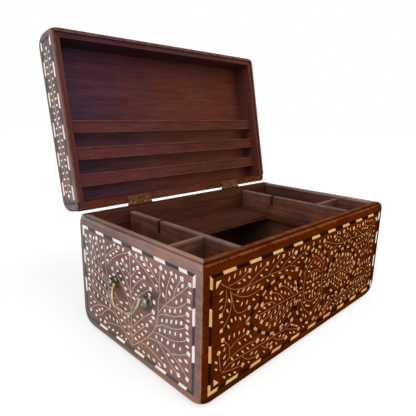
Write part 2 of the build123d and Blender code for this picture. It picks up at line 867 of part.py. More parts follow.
with BuildPart() as right_bail:
    sweep(bail_section(1), path=bail_path(1))
    revolve(grip_profile(1), axis=grip_line(1))
    for place in (-bail_half_width, bail_half_width):
        revolve(elbow_profile(1, place), axis=elbow_line(1, place))
    extrude(pivot_circle(1, -bail_pin_reach, bail_pin_radius), amount=bail_pin_run)
    extrude(pivot_circle(1, bail_half_width, bail_pin_radius), amount=bail_pin_run)

# Bands let into the case
with BuildPart() as front_bone_band:
    extrude(band_bones(front_face, front_band), amount=-band_depth)

with BuildPart() as front_ebony_band:
    extrude(band_ebony(front_face, front_band), amount=-band_depth)

with BuildPart() as front_corner_triangles:
    extrude(corner_triangles(front_face, front_band), amount=-triangle_depth)

with BuildPart() as back_bone_band:
    extrude(band_bones(back_face, front_band), amount=-band_depth)

with BuildPart() as back_ebony_band:
    extrude(band_ebony(back_face, front_band), amount=-band_depth)

with BuildPart() as left_bone_band:
    extrude(band_bones(left_face, end_band), amount=-band_depth)

with BuildPart() as left_ebony_band:
    extrude(band_ebony(left_face, end_band), amount=-band_depth)

with BuildPart() as right_bone_band:
    extrude(band_bones(right_face, end_band), amount=-band_depth)

with BuildPart() as right_ebony_band:
    extrude(band_ebony(right_face, end_band), amount=-band_depth)

# Bands let into the lid
with BuildPart() as lid_front_bone_band:
    extrude(band_bones(opened(front_face), lid_long_band), amount=-band_depth)

with BuildPart() as lid_front_ebony_band:
    extrude(band_ebony(opened(front_face), lid_long_band), amount=-band_depth)

with BuildPart() as lid_back_bone_band:
    extrude(band_bones(opened(back_face), lid_long_band), amount=-band_depth)

with BuildPart() as lid_back_ebony_band:
    extrude(band_ebony(opened(back_face), lid_long_band), amount=-band_depth)

with BuildPart() as lid_left_bone_band:
    extrude(band_bones(opened(left_face), lid_short_band), amount=-band_depth)

with BuildPart() as lid_left_ebony_band:
    extrude(band_ebony(opened(left_face), lid_short_band), amount=-band_depth)

with BuildPart() as lid_right_bone_band:
    extrude(band_bones(opened(right_face), lid_short_band), amount=-band_depth)

with BuildPart() as lid_right_ebony_band:
    extrude(band_ebony(opened(right_face), lid_short_band), amount=-band_depth)

with BuildPart() as lid_top_bone_band:
    extrude(band_bones(lid_top_face, lid_top_band), amount=-band_depth)

with BuildPart() as lid_top_ebony_band:
    extrude(band_ebony(lid_top_face, lid_top_band), amount=-band_depth)

# Every piece under its own name
pieces = {
    "front_board": front_board,
    "back_board": back_board,
    "left_board": left_board,
    "right_board": right_board,
    "bottom_board": bottom_board,
    "left_divider": left_divider,
    "right_divider": right_divider,
    "left_partition": left_partition,
    "right_partition": right_partition,
    "shelf_back": shelf_back,
    "shelf_front": shelf_front,
    "shelf_left": shelf_left,
    "shelf_right": shelf_right,
    "lid_front_rail": lid_front_rail,
    "lid_back_rail": lid_back_rail,
    "lid_left_rail": lid_left_rail,
    "lid_right_rail": lid_right_rail,
    "lid_panel": lid_panel,
    "lower_batten": lower_batten,
    "middle_batten": middle_batten,
    "upper_batten": upper_batten,
    "left_case_leaf": left_case_leaf,
    "right_case_leaf": right_case_leaf,
    "left_lid_leaf": left_lid_leaf,
    "right_lid_leaf": right_lid_leaf,
    "left_hinge_pin": left_hinge_pin,
    "right_hinge_pin": right_hinge_pin,
    "case_hinge_screws": case_hinge_screws,
    "lid_hinge_screws": lid_hinge_screws,
    "left_roses": left_roses,
    "right_roses": right_roses,
    "left_bail": left_bail,
    "right_bail": right_bail,
    "front_bone_band": front_bone_band,
    "front_ebony_band": front_ebony_band,
    "front_corner_triangles": front_corner_triangles,
    "back_bone_band": back_bone_band,
    "back_ebony_band": back_ebony_band,
    "left_bone_band": left_bone_band,
    "left_ebony_band": left_ebony_band,
    "right_bone_band": right_bone_band,
    "right_ebony_band": right_ebony_band,
    "lid_front_bone_band": lid_front_bone_band,
    "lid_front_ebony_band": lid_front_ebony_band,
    "lid_back_bone_band": lid_back_bone_band,
    "lid_back_ebony_band": lid_back_ebony_band,
    "lid_left_bone_band": lid_left_bone_band,
    "lid_left_ebony_band": lid_left_ebony_band,
    "lid_right_bone_band": lid_right_bone_band,
    "lid_right_ebony_band": lid_right_ebony_band,
    "lid_top_bone_band": lid_top_bone_band,
    "lid_top_ebony_band": lid_top_ebony_band,
}
for name, piece in pieces.items():
    piece.part.label = name
    export_step(piece.part, f"parts/{name}.step")
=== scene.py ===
"""Looks of the bone inlay box: woods, vine inlay in bone and ebony, aged brass, floor, light and camera."""
import json
import math

import bmesh
import bpy
from mathutils import Matrix, Vector


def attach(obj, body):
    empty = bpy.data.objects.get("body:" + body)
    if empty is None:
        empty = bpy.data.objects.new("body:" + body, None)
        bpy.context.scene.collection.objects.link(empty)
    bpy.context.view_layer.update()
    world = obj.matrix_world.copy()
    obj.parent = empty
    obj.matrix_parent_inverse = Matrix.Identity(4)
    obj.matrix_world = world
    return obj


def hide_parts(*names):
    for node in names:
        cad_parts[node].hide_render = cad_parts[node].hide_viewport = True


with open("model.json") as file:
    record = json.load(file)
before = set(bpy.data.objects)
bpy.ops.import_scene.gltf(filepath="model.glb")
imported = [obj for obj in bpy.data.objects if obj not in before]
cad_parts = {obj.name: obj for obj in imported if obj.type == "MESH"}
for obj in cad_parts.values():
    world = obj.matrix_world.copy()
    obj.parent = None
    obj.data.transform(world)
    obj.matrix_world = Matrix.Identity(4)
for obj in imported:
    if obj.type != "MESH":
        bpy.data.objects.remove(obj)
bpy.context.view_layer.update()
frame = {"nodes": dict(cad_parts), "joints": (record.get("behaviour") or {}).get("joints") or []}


def put_in_scene(name, data):
    made = bpy.data.objects.new(name, data)
    bpy.context.scene.collection.objects.link(made)
    return made


# Sizes of the box
mm = 0.001
case_half_length = 225 * mm
case_half_depth = 133.5 * mm
case_height = 176 * mm
lip_top = 178.4 * mm
ledge_width = 5.5 * mm
divider_top = 171.5 * mm
slot_place = 46 * mm
slot_half = 3.3 * mm
slot_floor = 152.3 * mm
lid_edge = 176.4 * mm
lid_base = 178.8 * mm
strip_width = 5.1 * mm
lid_top = 229 * mm
first_batten = 97.5 * mm
batten_pitch = 41 * mm
batten_width = 19 * mm
lid_joint = next(joint for joint in frame["joints"] if joint["name"] == "lid_hinge")
hinge_point = Vector(lid_joint["pos_m"])
lid_angle = math.radians(max(lid_joint["range_deg"]))
lid_opening = (
    Matrix.Translation(hinge_point)
    @ Matrix.Rotation(-lid_angle, 4, "X")
    @ Matrix.Translation(-hinge_point)
)
lid_shutting = lid_opening.inverted()

# Sizes of the inlay
inlay_proud = 0.07 * mm
inlay_sink = 0.35 * mm
stem_width = 0.62 * mm
stem_steps = 6
leaf_length = 6.2 * mm
leaf_width = 3.5 * mm
leaf_taper = 1.6
leaf_sides = 8
bud_length = 7.4 * mm
bud_width = 7.0 * mm
bud_sides = 4
front_leaf_length = 6.3 * mm
front_leaf_width = 2.5 * mm
vine_leaf_length = 6.6 * mm
vine_leaf_width = 3.1 * mm
dash_pitch = 9.7 * mm
bone_dash = (8.2 * mm, 3.6 * mm)
ebony_dash = (9.9 * mm, 5.0 * mm)
lean_scatter = math.radians(9)
size_scatter = 0.12
inlay_seed = 7


# Node helpers: sockets are held as values, so that node trees can be written like sums
number = "NodeSocketFloat"
geometry = "NodeSocketGeometry"
socket_kinds = {float: number, int: "NodeSocketInt", tuple: "NodeSocketVector"}
origin = (0, 0, 0)


class Value:
    """An output socket of a node tree: a number, a vector, a colour or a shape."""

    def __init__(self, nodes, socket):
        self.nodes = nodes
        self.socket = socket

    def math(self, operation, *operands):
        kind = "ShaderNodeVectorMath" if self.socket.type == "VECTOR" else "ShaderNodeMath"
        return self.nodes.add(kind, dict(enumerate(operands)), operation=operation)

    def __add__(self, other):
        return self.math("ADD", self, other)

    def __sub__(self, other):
        return self.math("SUBTRACT", self, other)

    def __rsub__(self, other):
        return self.math("SUBTRACT", other, self)

    def __mul__(self, other):
        if self.socket.type == "RGBA":
            return self.nodes.blend(1.0, self, other, "MULTIPLY")
        return self.math("MULTIPLY", self, other)

    def __rtruediv__(self, other):
        return self.math("DIVIDE", other, self)

    def __mod__(self, other):
        return self.math("FLOORED_MODULO", self, other)

    def __pow__(self, other):
        return self.math("POWER", self, other)

    def __abs__(self):
        return self.math("ABSOLUTE", self)

    def parts(self):
        made = self.nodes.node("ShaderNodeSeparateXYZ", {0: self})
        return [Value(self.nodes, socket) for socket in made.outputs]

    def remap(self, low, high, new_low=0.0, new_high=1.0, kind="SMOOTHSTEP"):
        inputs = {"Value": self, "From Min": low, "From Max": high, "To Min": new_low, "To Max": new_high}
        return self.nodes.add("ShaderNodeMapRange", inputs, interpolation_type=kind)


def least(first, second):
    return first.math("MINIMUM", first, second)


def most(first, second):
    return first.math("MAXIMUM", first, second)


class Nodes:
    """Builds one node tree."""

    def __init__(self, tree):
        self.tree = tree

    def fill(self, made, values):
        """Links a node's sockets to values of the tree, or sets them; a plain colour is three numbers."""
        for name, value in values.items():
            socket = made.inputs[name]
            if isinstance(value, Value):
                self.tree.links.new(value.socket, socket)
            else:
                socket.default_value = (*value, 1.0) if socket.type == "RGBA" else value

    def node(self, kind, inputs, **settings):
        """Adds a node, sets its settings and fills its sockets."""
        made = self.tree.nodes.new(kind)
        for name, value in settings.items():
            setattr(made, name, value)
        self.fill(made, inputs)
        return made

    def add(self, kind, inputs=None, output=0, **settings):
        """Adds a node, and gives back one of its outputs, by place or by name."""
        return Value(self, self.node(kind, inputs or {}, **settings).outputs[output])

    def use(self, group, inputs):
        """Sets a shared group, and gives back its outputs by name."""
        made = self.node("ShaderNodeGroup", inputs, node_tree=group)
        return {socket.name: Value(self, socket) for socket in made.outputs}

    def give(self, **outputs):
        """Links values to the group's own outputs, and gives back the finished group."""
        self.fill(self.end, outputs)
        return self.tree

    def triple(self, x=0.0, y=0.0, z=0.0):
        return self.add("ShaderNodeCombineXYZ", {0: x, 1: y, 2: z})

    def noise(self, place, scale, detail=3.0, roughness=0.55, distortion=0.0):
        inputs = {"Vector": place, "Scale": scale, "Detail": detail, "Roughness": roughness,
                  "Distortion": distortion}
        return self.add("ShaderNodeTexNoise", inputs)

    def blend(self, amount, first, second, kind="MIX"):
        """Mixes two colours; each may be a value or a plain colour of three numbers."""
        made = self.node("ShaderNodeMix", {}, data_type="RGBA", blend_type=kind)
        place_of = {socket.identifier: place for place, socket in enumerate(made.inputs)}
        values = {"Factor_Float": amount, "A_Color": first, "B_Color": second}
        self.fill(made, {place_of[name]: value for name, value in values.items()})
        return Value(self, next(socket for socket in made.outputs if socket.identifier == "Result_Color"))


def new_group(name, inputs, outputs, output_kind=number):
    """Starts a node group. Each input is named with its first value, or else with its socket type."""
    kind = "GeometryNodeTree" if output_kind == geometry else "ShaderNodeTree"
    tree = bpy.data.node_groups.new(name, kind)
    for label, value in inputs.items():
        socket_type = socket_kinds.get(type(value), value)
        socket = tree.interface.new_socket(label, in_out="INPUT", socket_type=socket_type)
        if socket_type != value:
            socket.default_value = value
    for label in outputs:
        tree.interface.new_socket(label, in_out="OUTPUT", socket_type=output_kind)
    nodes = Nodes(tree)
    start = tree.nodes.new("NodeGroupInput")
    nodes.given = {label: Value(nodes, start.outputs[label]) for label in inputs}
    nodes.end = tree.nodes.new("NodeGroupOutput")
    return nodes


# Bands of noise: where a pattern starts and is full; the patches also give the amounts there
wide_band = (0.3, 0.7)
fibre_band = (0.33, 0.67)
pore_band = (0.6, 0.72)
blotch_band = (0.32, 0.68)
scratch_band = (0.6, 0.7)
pit_band = (0.56, 0.68)
edge_patches = (0.35, 0.7, 0.15, 1.4)
rail_patches = (0.35, 0.7, 0.2, 1.3)
lip_patches = (0.35, 0.65, 0.25, 1.0)

# Amounts at both ends of a change that falls from full to none
falling = (1.0, 0.0)

# Scales of the noises, in waves to the metre, and how they are drawn out along X and Y
cloud_scale = 11.0
edge_patch_scale = 60.0
rail_patch_scale = 70.0
sway_scale = 26.0
lip_scale = 300.0
streak_stretch = (0.07, 1.0, 1.0)
fibre_stretch = (0.03, 1.0, 1.0)
scratch_stretch = (0.12, 0.6, 1.0)
lip_stretch = (0.3, 0.3, 1.0)

# Shares of the grain's three patterns, how much finer the small ones are, and how the streaks wander
streak_part = 0.42
fibre_part = 0.40
cloud_part = 0.18
fibre_fineness = 4.5
speckle_fineness = 9.0
lively_figure = 0.6
calm_figure = 0.2

# Reaches of the wear at the edges, of the painted highlights along rail edges, of the painted shade and the
# paler lip top at the stepped rim, and of the fades' borders
edge_wear = 4 * mm
end_edge_wear = 7 * mm
rail_highlight_reach = 1.6 * mm
skin_depth = 1.6 * mm
fade_waver = 40 * mm
skin_softness = 1.5
corner_shade = (0.2 * mm, 1.0 * mm)
shade_below = (0.5 * mm, 1.0 * mm)
foot_softness = 0.4 * mm
lip_depth = (0.3 * mm, 0.9 * mm)


# Shader group: hardwood grain running along X
def make_wood_grain():
    inputs = {"Place": origin, "Streak Width": number, "Figure": lively_figure}
    nodes = new_group("hardwood_grain", inputs, ("Tone", "Pores", "Height"))
    place, streak_width, figure = nodes.given.values()
    finer = 1.0 / streak_width
    fibre_place = place * fibre_stretch
    streaks = nodes.noise(place * streak_stretch, finer, detail=4.0, roughness=0.6, distortion=figure)
    fibres = nodes.noise(fibre_place, finer * fibre_fineness, detail=4.0, roughness=0.7)
    speckle = nodes.noise(fibre_place, finer * speckle_fineness, detail=1.0)
    streaky = streaks.remap(*wide_band) * streak_part
    fibrous = fibres.remap(*fibre_band) * fibre_part
    cloudy = nodes.noise(place, cloud_scale).remap(*wide_band) * cloud_part
    pores = speckle.remap(*pore_band)
    return nodes.give(Tone=streaky + fibrous + cloudy, Pores=pores, Height=fibrous - pores)


# Shader group: how near a place is to the outside and to the edges of a box
def make_box_wear():
    inputs = {"Place": origin, "Centre": origin, "Half Size": origin, "Wear Width": edge_wear,
              "Skin": skin_depth}
    nodes = new_group("box_edge_wear", inputs, ("Edge", "Outside"))
    place, centre, half_size, wear_width, skin = nodes.given.values()
    gap_x, gap_y, gap_z = (half_size - abs(place - centre)).parts()
    low = least(gap_x, gap_y)
    second = most(low, least(most(gap_x, gap_y), gap_z))
    patches = nodes.noise(place, edge_patch_scale, detail=5.0, roughness=0.65)
    edge = second.remap(0.0, wear_width * patches.remap(*edge_patches), *falling)
    outside = least(low, gap_z).remap(skin, skin * skin_softness, *falling)
    return nodes.give(Edge=edge, Outside=outside)


# Shader group: uneven ageing, with blotches, fine grain and scratches
def make_ageing():
    inputs = {"Place": origin, "Blotch Size": number, "Grain Size": number}
    nodes = new_group("uneven_ageing", inputs, ("Blotch", "Grain", "Scratch"))
    place, blotch_size, grain_size = nodes.given.values()
    blotch = nodes.noise(place, 1.0 / blotch_size, detail=5.0, roughness=0.6).remap(*blotch_band)
    grain = nodes.noise(place, 1.0 / grain_size, detail=4.0, roughness=0.7)
    scratch = nodes.noise(place * scratch_stretch, 1.0 / grain_size, detail=2.0).remap(*scratch_band)
    return nodes.give(Blotch=blotch, Grain=grain, Scratch=scratch)


# Shader group: a slow change from one side of a piece to the other, with a wavering border
def make_slow_change():
    inputs = {"Place": origin, "Direction": origin, "Start": number, "End": number, "Waver": fade_waver}
    nodes = new_group("slow_change", inputs, ("Share",))
    place, direction, start, end, waver = nodes.given.values()
    run = nodes.add("ShaderNodeVectorMath", {0: place, 1: direction}, "Value", operation="DOT_PRODUCT")
    sway = nodes.noise(place, sway_scale) - 0.5
    return nodes.give(Share=(run + sway * waver).remap(start, end))


# Shader group: painted shade in the corner where the lip rises from the ledge, and the paler top of the
# lip, partly wear and partly painted highlight
def make_rim():
    inputs = {"Place": origin, "Half Size": origin, "Ledge": number, "Foot": number, "Top": number,
              "Up": number}
    nodes = new_group("stepped_rim", inputs, ("Groove", "Rubbed"))
    place, half_size, ledge, foot, top, up = nodes.given.values()
    inset = least(*(half_size - abs(place)).parts()[:2])
    height = place.parts()[2] * up
    depth = top - height
    near = abs(inset - ledge).remap(*corner_shade, *falling)
    above = (height - foot).remap(-foot_softness, 0.0)
    streaks = nodes.noise(place * lip_stretch, lip_scale, detail=4.0)
    lip_wear_and_highlight = depth.remap(*lip_depth, *falling) * streaks.remap(*lip_patches)
    return nodes.give(Groove=near * above * depth.remap(*shade_below), Rubbed=lip_wear_and_highlight)


# Shader group: painted highlights along the edges of evenly spaced rails
def make_rail_highlights():
    inputs = {"Place": origin, "First": first_batten, "Pitch": batten_pitch, "Width": batten_width,
              "Wear": rail_highlight_reach}
    nodes = new_group("rail_highlights", inputs, ("Edge",))
    place, first, pitch, width, wear = nodes.given.values()
    step = (first - place.parts()[1]) % pitch
    reach = wear * nodes.noise(place, rail_patch_scale, detail=4.0).remap(*rail_patches)
    return nodes.give(Edge=abs(least(step, width - step)).remap(0.0, reach, *falling))


wood_grain = make_wood_grain()
box_wear = make_box_wear()
ageing = make_ageing()
slow_change = make_slow_change()
stepped_rim = make_rim()
rail_highlights = make_rail_highlights()


# Tones of the woods, as pairs of dark and light in linear colour
front_outer = ((0.041, 0.0059, 0.0006), (0.120, 0.0202, 0.0024))
back_outer = ((0.042, 0.0110, 0.0050), (0.092, 0.0290, 0.0140))
# The ends' outside tones are greyish mauve, partly the rosewood and partly painted sheen of the cool left
# light; so are the lid's ends, paler still
end_outer_with_sheen = ((0.070, 0.027, 0.019), (0.258, 0.131, 0.108))
lid_end_outer_with_sheen = ((0.150, 0.108, 0.101), (0.284, 0.214, 0.202))
inside_tone = ((0.030, 0.0088, 0.0050), (0.099, 0.0345, 0.0209))
# The dividers' and partitions' sides: a lighter copy of the inside wood, painted as lit by the left window
lit_divider_tone = ((0.050, 0.0160, 0.0100), (0.186, 0.0730, 0.0510))
divider_top_tone = ((0.125, 0.066, 0.056), (0.240, 0.150, 0.132))
lid_inside_tone = ((0.060, 0.0172, 0.0126), (0.122, 0.0415, 0.0324))
# Paler tones of worn edges; on the front, the ends and the lid they also paint the highlights on the lip
# tops, and on the lid those along the battens' edges
front_wear_and_highlight = (0.26, 0.095, 0.035)
worn_back = (0.13, 0.055, 0.030)
end_wear_and_highlight = (0.30, 0.178, 0.145)
lid_wear_and_highlight = (0.20, 0.098, 0.075)
# The tone of the painted shade in the rim's corner and in the dividers' slots
shade_tone = (0.022, 0.009, 0.006)

# Patches: their size, and the tints of the two kinds
mild_patches = (55 * mm, (0.88, 0.98, 1.08), (1.12, 0.95, 0.86))
end_patches = (42 * mm, (0.80, 0.84, 0.90), (1.18, 1.06, 0.98))
tray_patches = (30 * mm, (0.74, 0.74, 0.78), (1.20, 1.04, 0.92))
front_patches = (38 * mm, (0.80, 0.78, 0.75), (1.16, 1.06, 0.95))

# Polish
dull_wood = 0.5
polished_wood = 0.36
end_gloss = 0.3
bone_gloss = 0.35
warm_lit_gloss = 0.1

# Slow changes of tone: direction, where each starts and ends, and the tint at both ends
# Ends: darker towards the back and lighter towards the front, bluer along the back edge, lighter and bluer
# towards the top, all painted light and sheen of the cool left light; warmer and darker towards the foot
end_tone_and_sheen_fades = (
    ((0, -1, 0), -0.12, 0.11, (0.82, 0.82, 0.82), (1.22, 1.21, 1.19)),
    ((0, 0.3, -1), -0.085, -0.02, (1.02, 1.02, 1.02), (0.93, 0.75, 0.44)),
    ((0, 1, 0), 0.075, 0.115, (1.0, 1.0, 1.0), (1.06, 1.30, 1.58)),
    ((0, 0, 1), 0.150, 0.172, (1.0, 1.0, 1.0), (1.16, 1.30, 1.38)),
)
# Lid panel: dark and bluish towards the left, warmer towards the right, painted shade of the lid's left
# rail with a painted bluish fill light; lighter towards the hinge, among the battens, painted light
panel_light_fades = (
    ((1, 0.15, 0), -0.22, 0.06, (0.64, 0.92, 1.95), (1.16, 1.04, 0.86)),
    ((0, 1, 0), -0.01, 0.03, (1.0, 1.0, 1.0), (1.22, 1.32, 1.30)),
)
# Battens: bluer towards the left, darker and warmer towards the right, painted light and shade as on the
# panel
batten_light_fades = (((1, 0, 0), -0.20, 0.12, (1.08, 1.08, 1.40), (0.90, 0.88, 0.72)),)
hinge_rail_fades = (((1, 0, 0), -0.20, 0.20, (1.08, 0.94, 0.72), (1.08, 1.00, 0.66)),)
# The lid's front rail: darker and bluish towards the left, painted shade with a bluish fill light
top_rail_shade_fades = (((1, 0, 0), -0.15, 0.20, (0.68, 0.88, 1.45), (1.02, 1.12, 1.00)),)
lid_end_fades = (((0, 1, 0), -0.13, 0.13, (0.98, 1.0, 1.06), (1.02, 1.0, 0.97)),)
front_fades = (((1, 0, 0), -0.22, 0.22, (1.03, 1.05, 0.62), (0.97, 1.10, 0.24)),)
even_fades = (((0, 0, 1), 0.0, 0.2, (1.0, 0.97, 0.95), (1.0, 1.03, 1.05)),)

# Shares and tints of pores, wear, painted highlights and painted shade
pore_share = 0.6
pore_tint = (0.35, 0.28, 0.26)
edge_share = 0.55
lip_share = 0.5
corner_shade_share = 0.6
slot_shade_share = 0.75
slot_softness = 0.1 * mm
rail_highlight_share = 0.6
bone_line_share = 0.3
bone_line_tint = (0.7, 0.58, 0.46)
least_streak = 0.4
pit_share = 0.7

# Sizes of the streaks, of each material's patches and of its fine grain
wood_streak = 12 * mm
lid_streak = 5 * mm
tray_streak = 8 * mm
wood_grain_size = 1.5 * mm
bone_ageing = {"Blotch Size": 26 * mm, "Grain Size": 1.1 * mm}
ebony_ageing = {"Blotch Size": 14 * mm, "Grain Size": 0.9 * mm}
ebony_streak = 4 * mm
brass_grain_size = 0.8 * mm
bail_blotch = 11 * mm
small_blotch = 5 * mm

# Roughness where the grain is low and high, and relief as bump strength and depth
bone_rough = (0.34, 0.5)
ebony_rough = (0.32, 0.48)
brass_rough = (0.3, 0.55)
wood_relief = (0.18, 0.4 * mm)
bone_relief = (0.12, 0.2 * mm)
ebony_relief = (0.1, 0.3 * mm)
brass_relief = (0.25, 0.25 * mm)

# The right end of the front's band, where the bone is painted white as a highlight
highlight_end = {"Direction": (1, 0, 0), "Start": 0.195, "End": 0.213, "Waver": 0.004}


# Materials
def new_material(name):
    material = bpy.data.materials.new(name)
    material.use_nodes = True
    shader = next(node for node in material.node_tree.nodes if node.type == "BSDF_PRINCIPLED")
    nodes = Nodes(material.node_tree)
    return material, nodes, shader, nodes.add("ShaderNodeTexCoord", output="Object")


def set_surface(nodes, shader, tone, rough, height, relief, more):
    """Fills a shader's sockets with a surface's tone, roughness and relief, and with what else it has."""
    strength, depth = relief
    bump = nodes.add("ShaderNodeBump", {"Height": height, "Strength": strength, "Distance": depth})
    nodes.fill(shader, {"Base Color": tone, "Roughness": rough, "Normal": bump, **more})


def upright_box(bottom, top, half_length=case_half_length, half_depth=case_half_depth):
    """The centre and half size of a box between two heights, as the wear group takes them."""
    half_height = (top - bottom) / 2
    return {"Centre": (0, 0, (bottom + top) / 2), "Half Size": (half_length, half_depth, half_height)}


far = 1.0
under_lid = 0.1
case_shape = upright_box(0, case_height)
lid_shape = upright_box(lid_edge, lid_top)
lid_skin = upright_box(lid_edge - under_lid, lid_top)
tray_skin = upright_box(0, divider_top, far, far)
case_rim = {"Ledge": ledge_width, "Foot": case_height, "Top": lip_top, "Up": 1.0}
lid_rim = {"Ledge": strip_width, "Foot": -lid_base, "Top": -lid_edge, "Up": -1.0}
specular = "Specular IOR Level"


def shade_in_slot(nodes, place, tone):
    """Paints shade into the slot near a divider's back end."""
    across, height = place.parts()[1:]
    in_slot = abs(across - slot_place).remap(slot_half, slot_half + slot_softness, slot_shade_share, 0.0)
    above_floor = height.remap(slot_floor, slot_floor + slot_softness)
    return nodes.blend(in_slot * above_floor, tone, shade_tone)


def wood(name, outer, inner, worn, fades=even_fades, patches=mild_patches, along_y=False, skin=case_shape,
         shape=case_shape, gloss=0.0, streak=wood_streak, figure=lively_figure, wear_width=edge_wear,
         rim=None, railed=False, slotted=False):
    """Hardwood with one tone pair outside and one inside, slow changes, some of them painted light and
    shade, patchy changes, paler worn edges, lip tops that are partly worn and partly painted highlight,
    painted highlights along rail edges, and painted shade in the rim's corner and in slots.
    """
    material, nodes, shader, place = new_material(name)
    if shape is lid_shape:
        turned = {"Vector": place, "Location": lid_shutting.to_translation(), "Rotation": (lid_angle, 0, 0)}
        place = nodes.add("ShaderNodeMapping", turned)
    along = place
    if along_y:
        along = nodes.add("ShaderNodeMapping", {"Vector": place, "Rotation": (0, 0, math.pi / 2)})
    grain = nodes.use(wood_grain, {"Place": along, "Streak Width": streak, "Figure": figure})
    outside = nodes.use(box_wear, {"Place": place, **skin})["Outside"]
    edge = nodes.use(box_wear, {"Place": place, "Wear Width": wear_width, **shape})["Edge"]
    tone = nodes.blend(outside, nodes.blend(grain["Tone"], *inner), nodes.blend(grain["Tone"], *outer))
    for direction, start, end, first_tint, last_tint in fades:
        way = {"Place": place, "Direction": direction, "Start": start, "End": end}
        tone = nodes.blend(nodes.use(slow_change, way)["Share"], tone * first_tint, tone * last_tint)
    patch_size, cool_patch, warm_patch = patches
    age = nodes.use(ageing, {"Place": place, "Blotch Size": patch_size, "Grain Size": wood_grain_size})
    tone = nodes.blend(age["Blotch"], tone * cool_patch, tone * warm_patch)
    tone = nodes.blend(grain["Pores"] * pore_share, tone, tone * pore_tint)
    tone = nodes.blend(edge * edge_share, tone, worn)
    # The rim: a paler lip top, partly wear and partly painted highlight, and painted shade in the corner at
    # the lip's foot
    if rim:
        lines = nodes.use(stepped_rim, {"Place": place, "Half Size": shape["Half Size"], **rim})
        tone = nodes.blend(lines["Rubbed"] * lip_share, tone, worn)
        tone = nodes.blend(lines["Groove"] * corner_shade_share, tone, shade_tone)
    # Painted shade in the dividers' slots
    if slotted:
        tone = shade_in_slot(nodes, place, tone)
    # Painted highlights along the battens' edges
    if railed:
        rails = nodes.use(rail_highlights, {"Place": place})
        tone = nodes.blend(rails["Edge"] * rail_highlight_share, tone, worn)
    rough = grain["Tone"].remap(0.0, 1.0, dull_wood, polished_wood, "LINEAR")
    set_surface(nodes, shader, tone, rough, grain["Height"], wood_relief, {specular: gloss})
    return material


def bone(name, pale, aged, gloss=bone_gloss, highlight=None):
    """Polished bone with yellowed patches, fine lines and pits; the optional last tone is a painted
    highlight at the right end.
    """
    material, nodes, shader, place = new_material(name)
    age = nodes.use(ageing, {"Place": place, **bone_ageing})
    tone = nodes.blend(age["Blotch"], pale, aged)
    if highlight:
        tone = nodes.blend(nodes.use(slow_change, {"Place": place, **highlight_end})["Share"], tone, highlight)
    tone = nodes.blend(age["Scratch"] * bone_line_share, tone, tone * bone_line_tint)
    rough = age["Grain"].remap(*wide_band, *bone_rough)
    set_surface(nodes, shader, tone, rough, age["Grain"], bone_relief, {specular: gloss})
    return material


def dark_wood(name, dark, light, gloss):
    """Ebony with faint streaks."""
    material, nodes, shader, place = new_material(name)
    age = nodes.use(ageing, {"Place": place, **ebony_ageing})
    grain = nodes.use(wood_grain, {"Place": place, "Streak Width": ebony_streak})
    tone = nodes.blend(grain["Tone"] * (age["Blotch"] + least_streak), dark, light)
    rough = age["Grain"].remap(*wide_band, *ebony_rough)
    set_surface(nodes, shader, tone, rough, grain["Height"], ebony_relief, {specular: gloss})
    return material


def brass(name, bright, tarnished, grime, blotch):
    """Old brass: rubbed bright in places, tarnished in others, with grime in the pits."""
    material, nodes, shader, place = new_material(name)
    age = nodes.use(ageing, {"Place": place, "Blotch Size": blotch, "Grain Size": brass_grain_size})
    tone = nodes.blend(age["Blotch"], bright, tarnished)
    tone = nodes.blend(age["Grain"].remap(*pit_band) * pit_share, tone, grime)
    rough = age["Grain"].remap(*wide_band, *brass_rough)
    set_surface(nodes, shader, tone, rough, age["Grain"], brass_relief, {"Metallic": 1.0})
    return material


# Woods
in_lid = {"worn": lid_wear_and_highlight, "skin": lid_skin, "shape": lid_shape}
fine_lid = {**in_lid, "streak": lid_streak, "figure": calm_figure}
in_tray = {"worn": worn_back, "patches": tray_patches, "skin": tray_skin, "streak": tray_streak}
front_wood = wood("rosewood_front", front_outer, inside_tone, front_wear_and_highlight, front_fades, front_patches,
                  rim=case_rim)
back_wood = wood("rosewood_back", back_outer, inside_tone, worn_back)
end_wood = wood("rosewood_ends", end_outer_with_sheen, inside_tone, end_wear_and_highlight, end_tone_and_sheen_fades, end_patches, along_y=True,
                gloss=end_gloss, wear_width=end_edge_wear, rim=case_rim)
lid_rail_wood = wood("rosewood_lid_back_rail", front_outer, lid_inside_tone, fades=hinge_rail_fades,
                     **fine_lid)
lid_front_wood = wood("rosewood_lid_front_rail", front_outer, lid_inside_tone, fades=top_rail_shade_fades,
                      rim=lid_rim, **fine_lid)
lid_end_wood = wood("rosewood_lid_ends", lid_end_outer_with_sheen, lid_inside_tone, fades=lid_end_fades, along_y=True,
                    rim=lid_rim, **in_lid)
lid_panel_wood = wood("rosewood_lid_panel", front_outer, lid_inside_tone, fades=panel_light_fades, **fine_lid)
batten_wood = wood("rosewood_battens", lid_inside_tone, lid_inside_tone, fades=batten_light_fades, railed=True,
                   **fine_lid)
shelf_wood = wood("rosewood_shelf", inside_tone, inside_tone, worn_back)
shelf_cross_wood = wood("rosewood_shelf_cross", inside_tone, inside_tone, worn_back, along_y=True)
divider_wood = wood("rosewood_dividers", divider_top_tone, lit_divider_tone, along_y=True, slotted=True,
                    **in_tray)
partition_wood = wood("rosewood_partitions", divider_top_tone, lit_divider_tone, **in_tray)

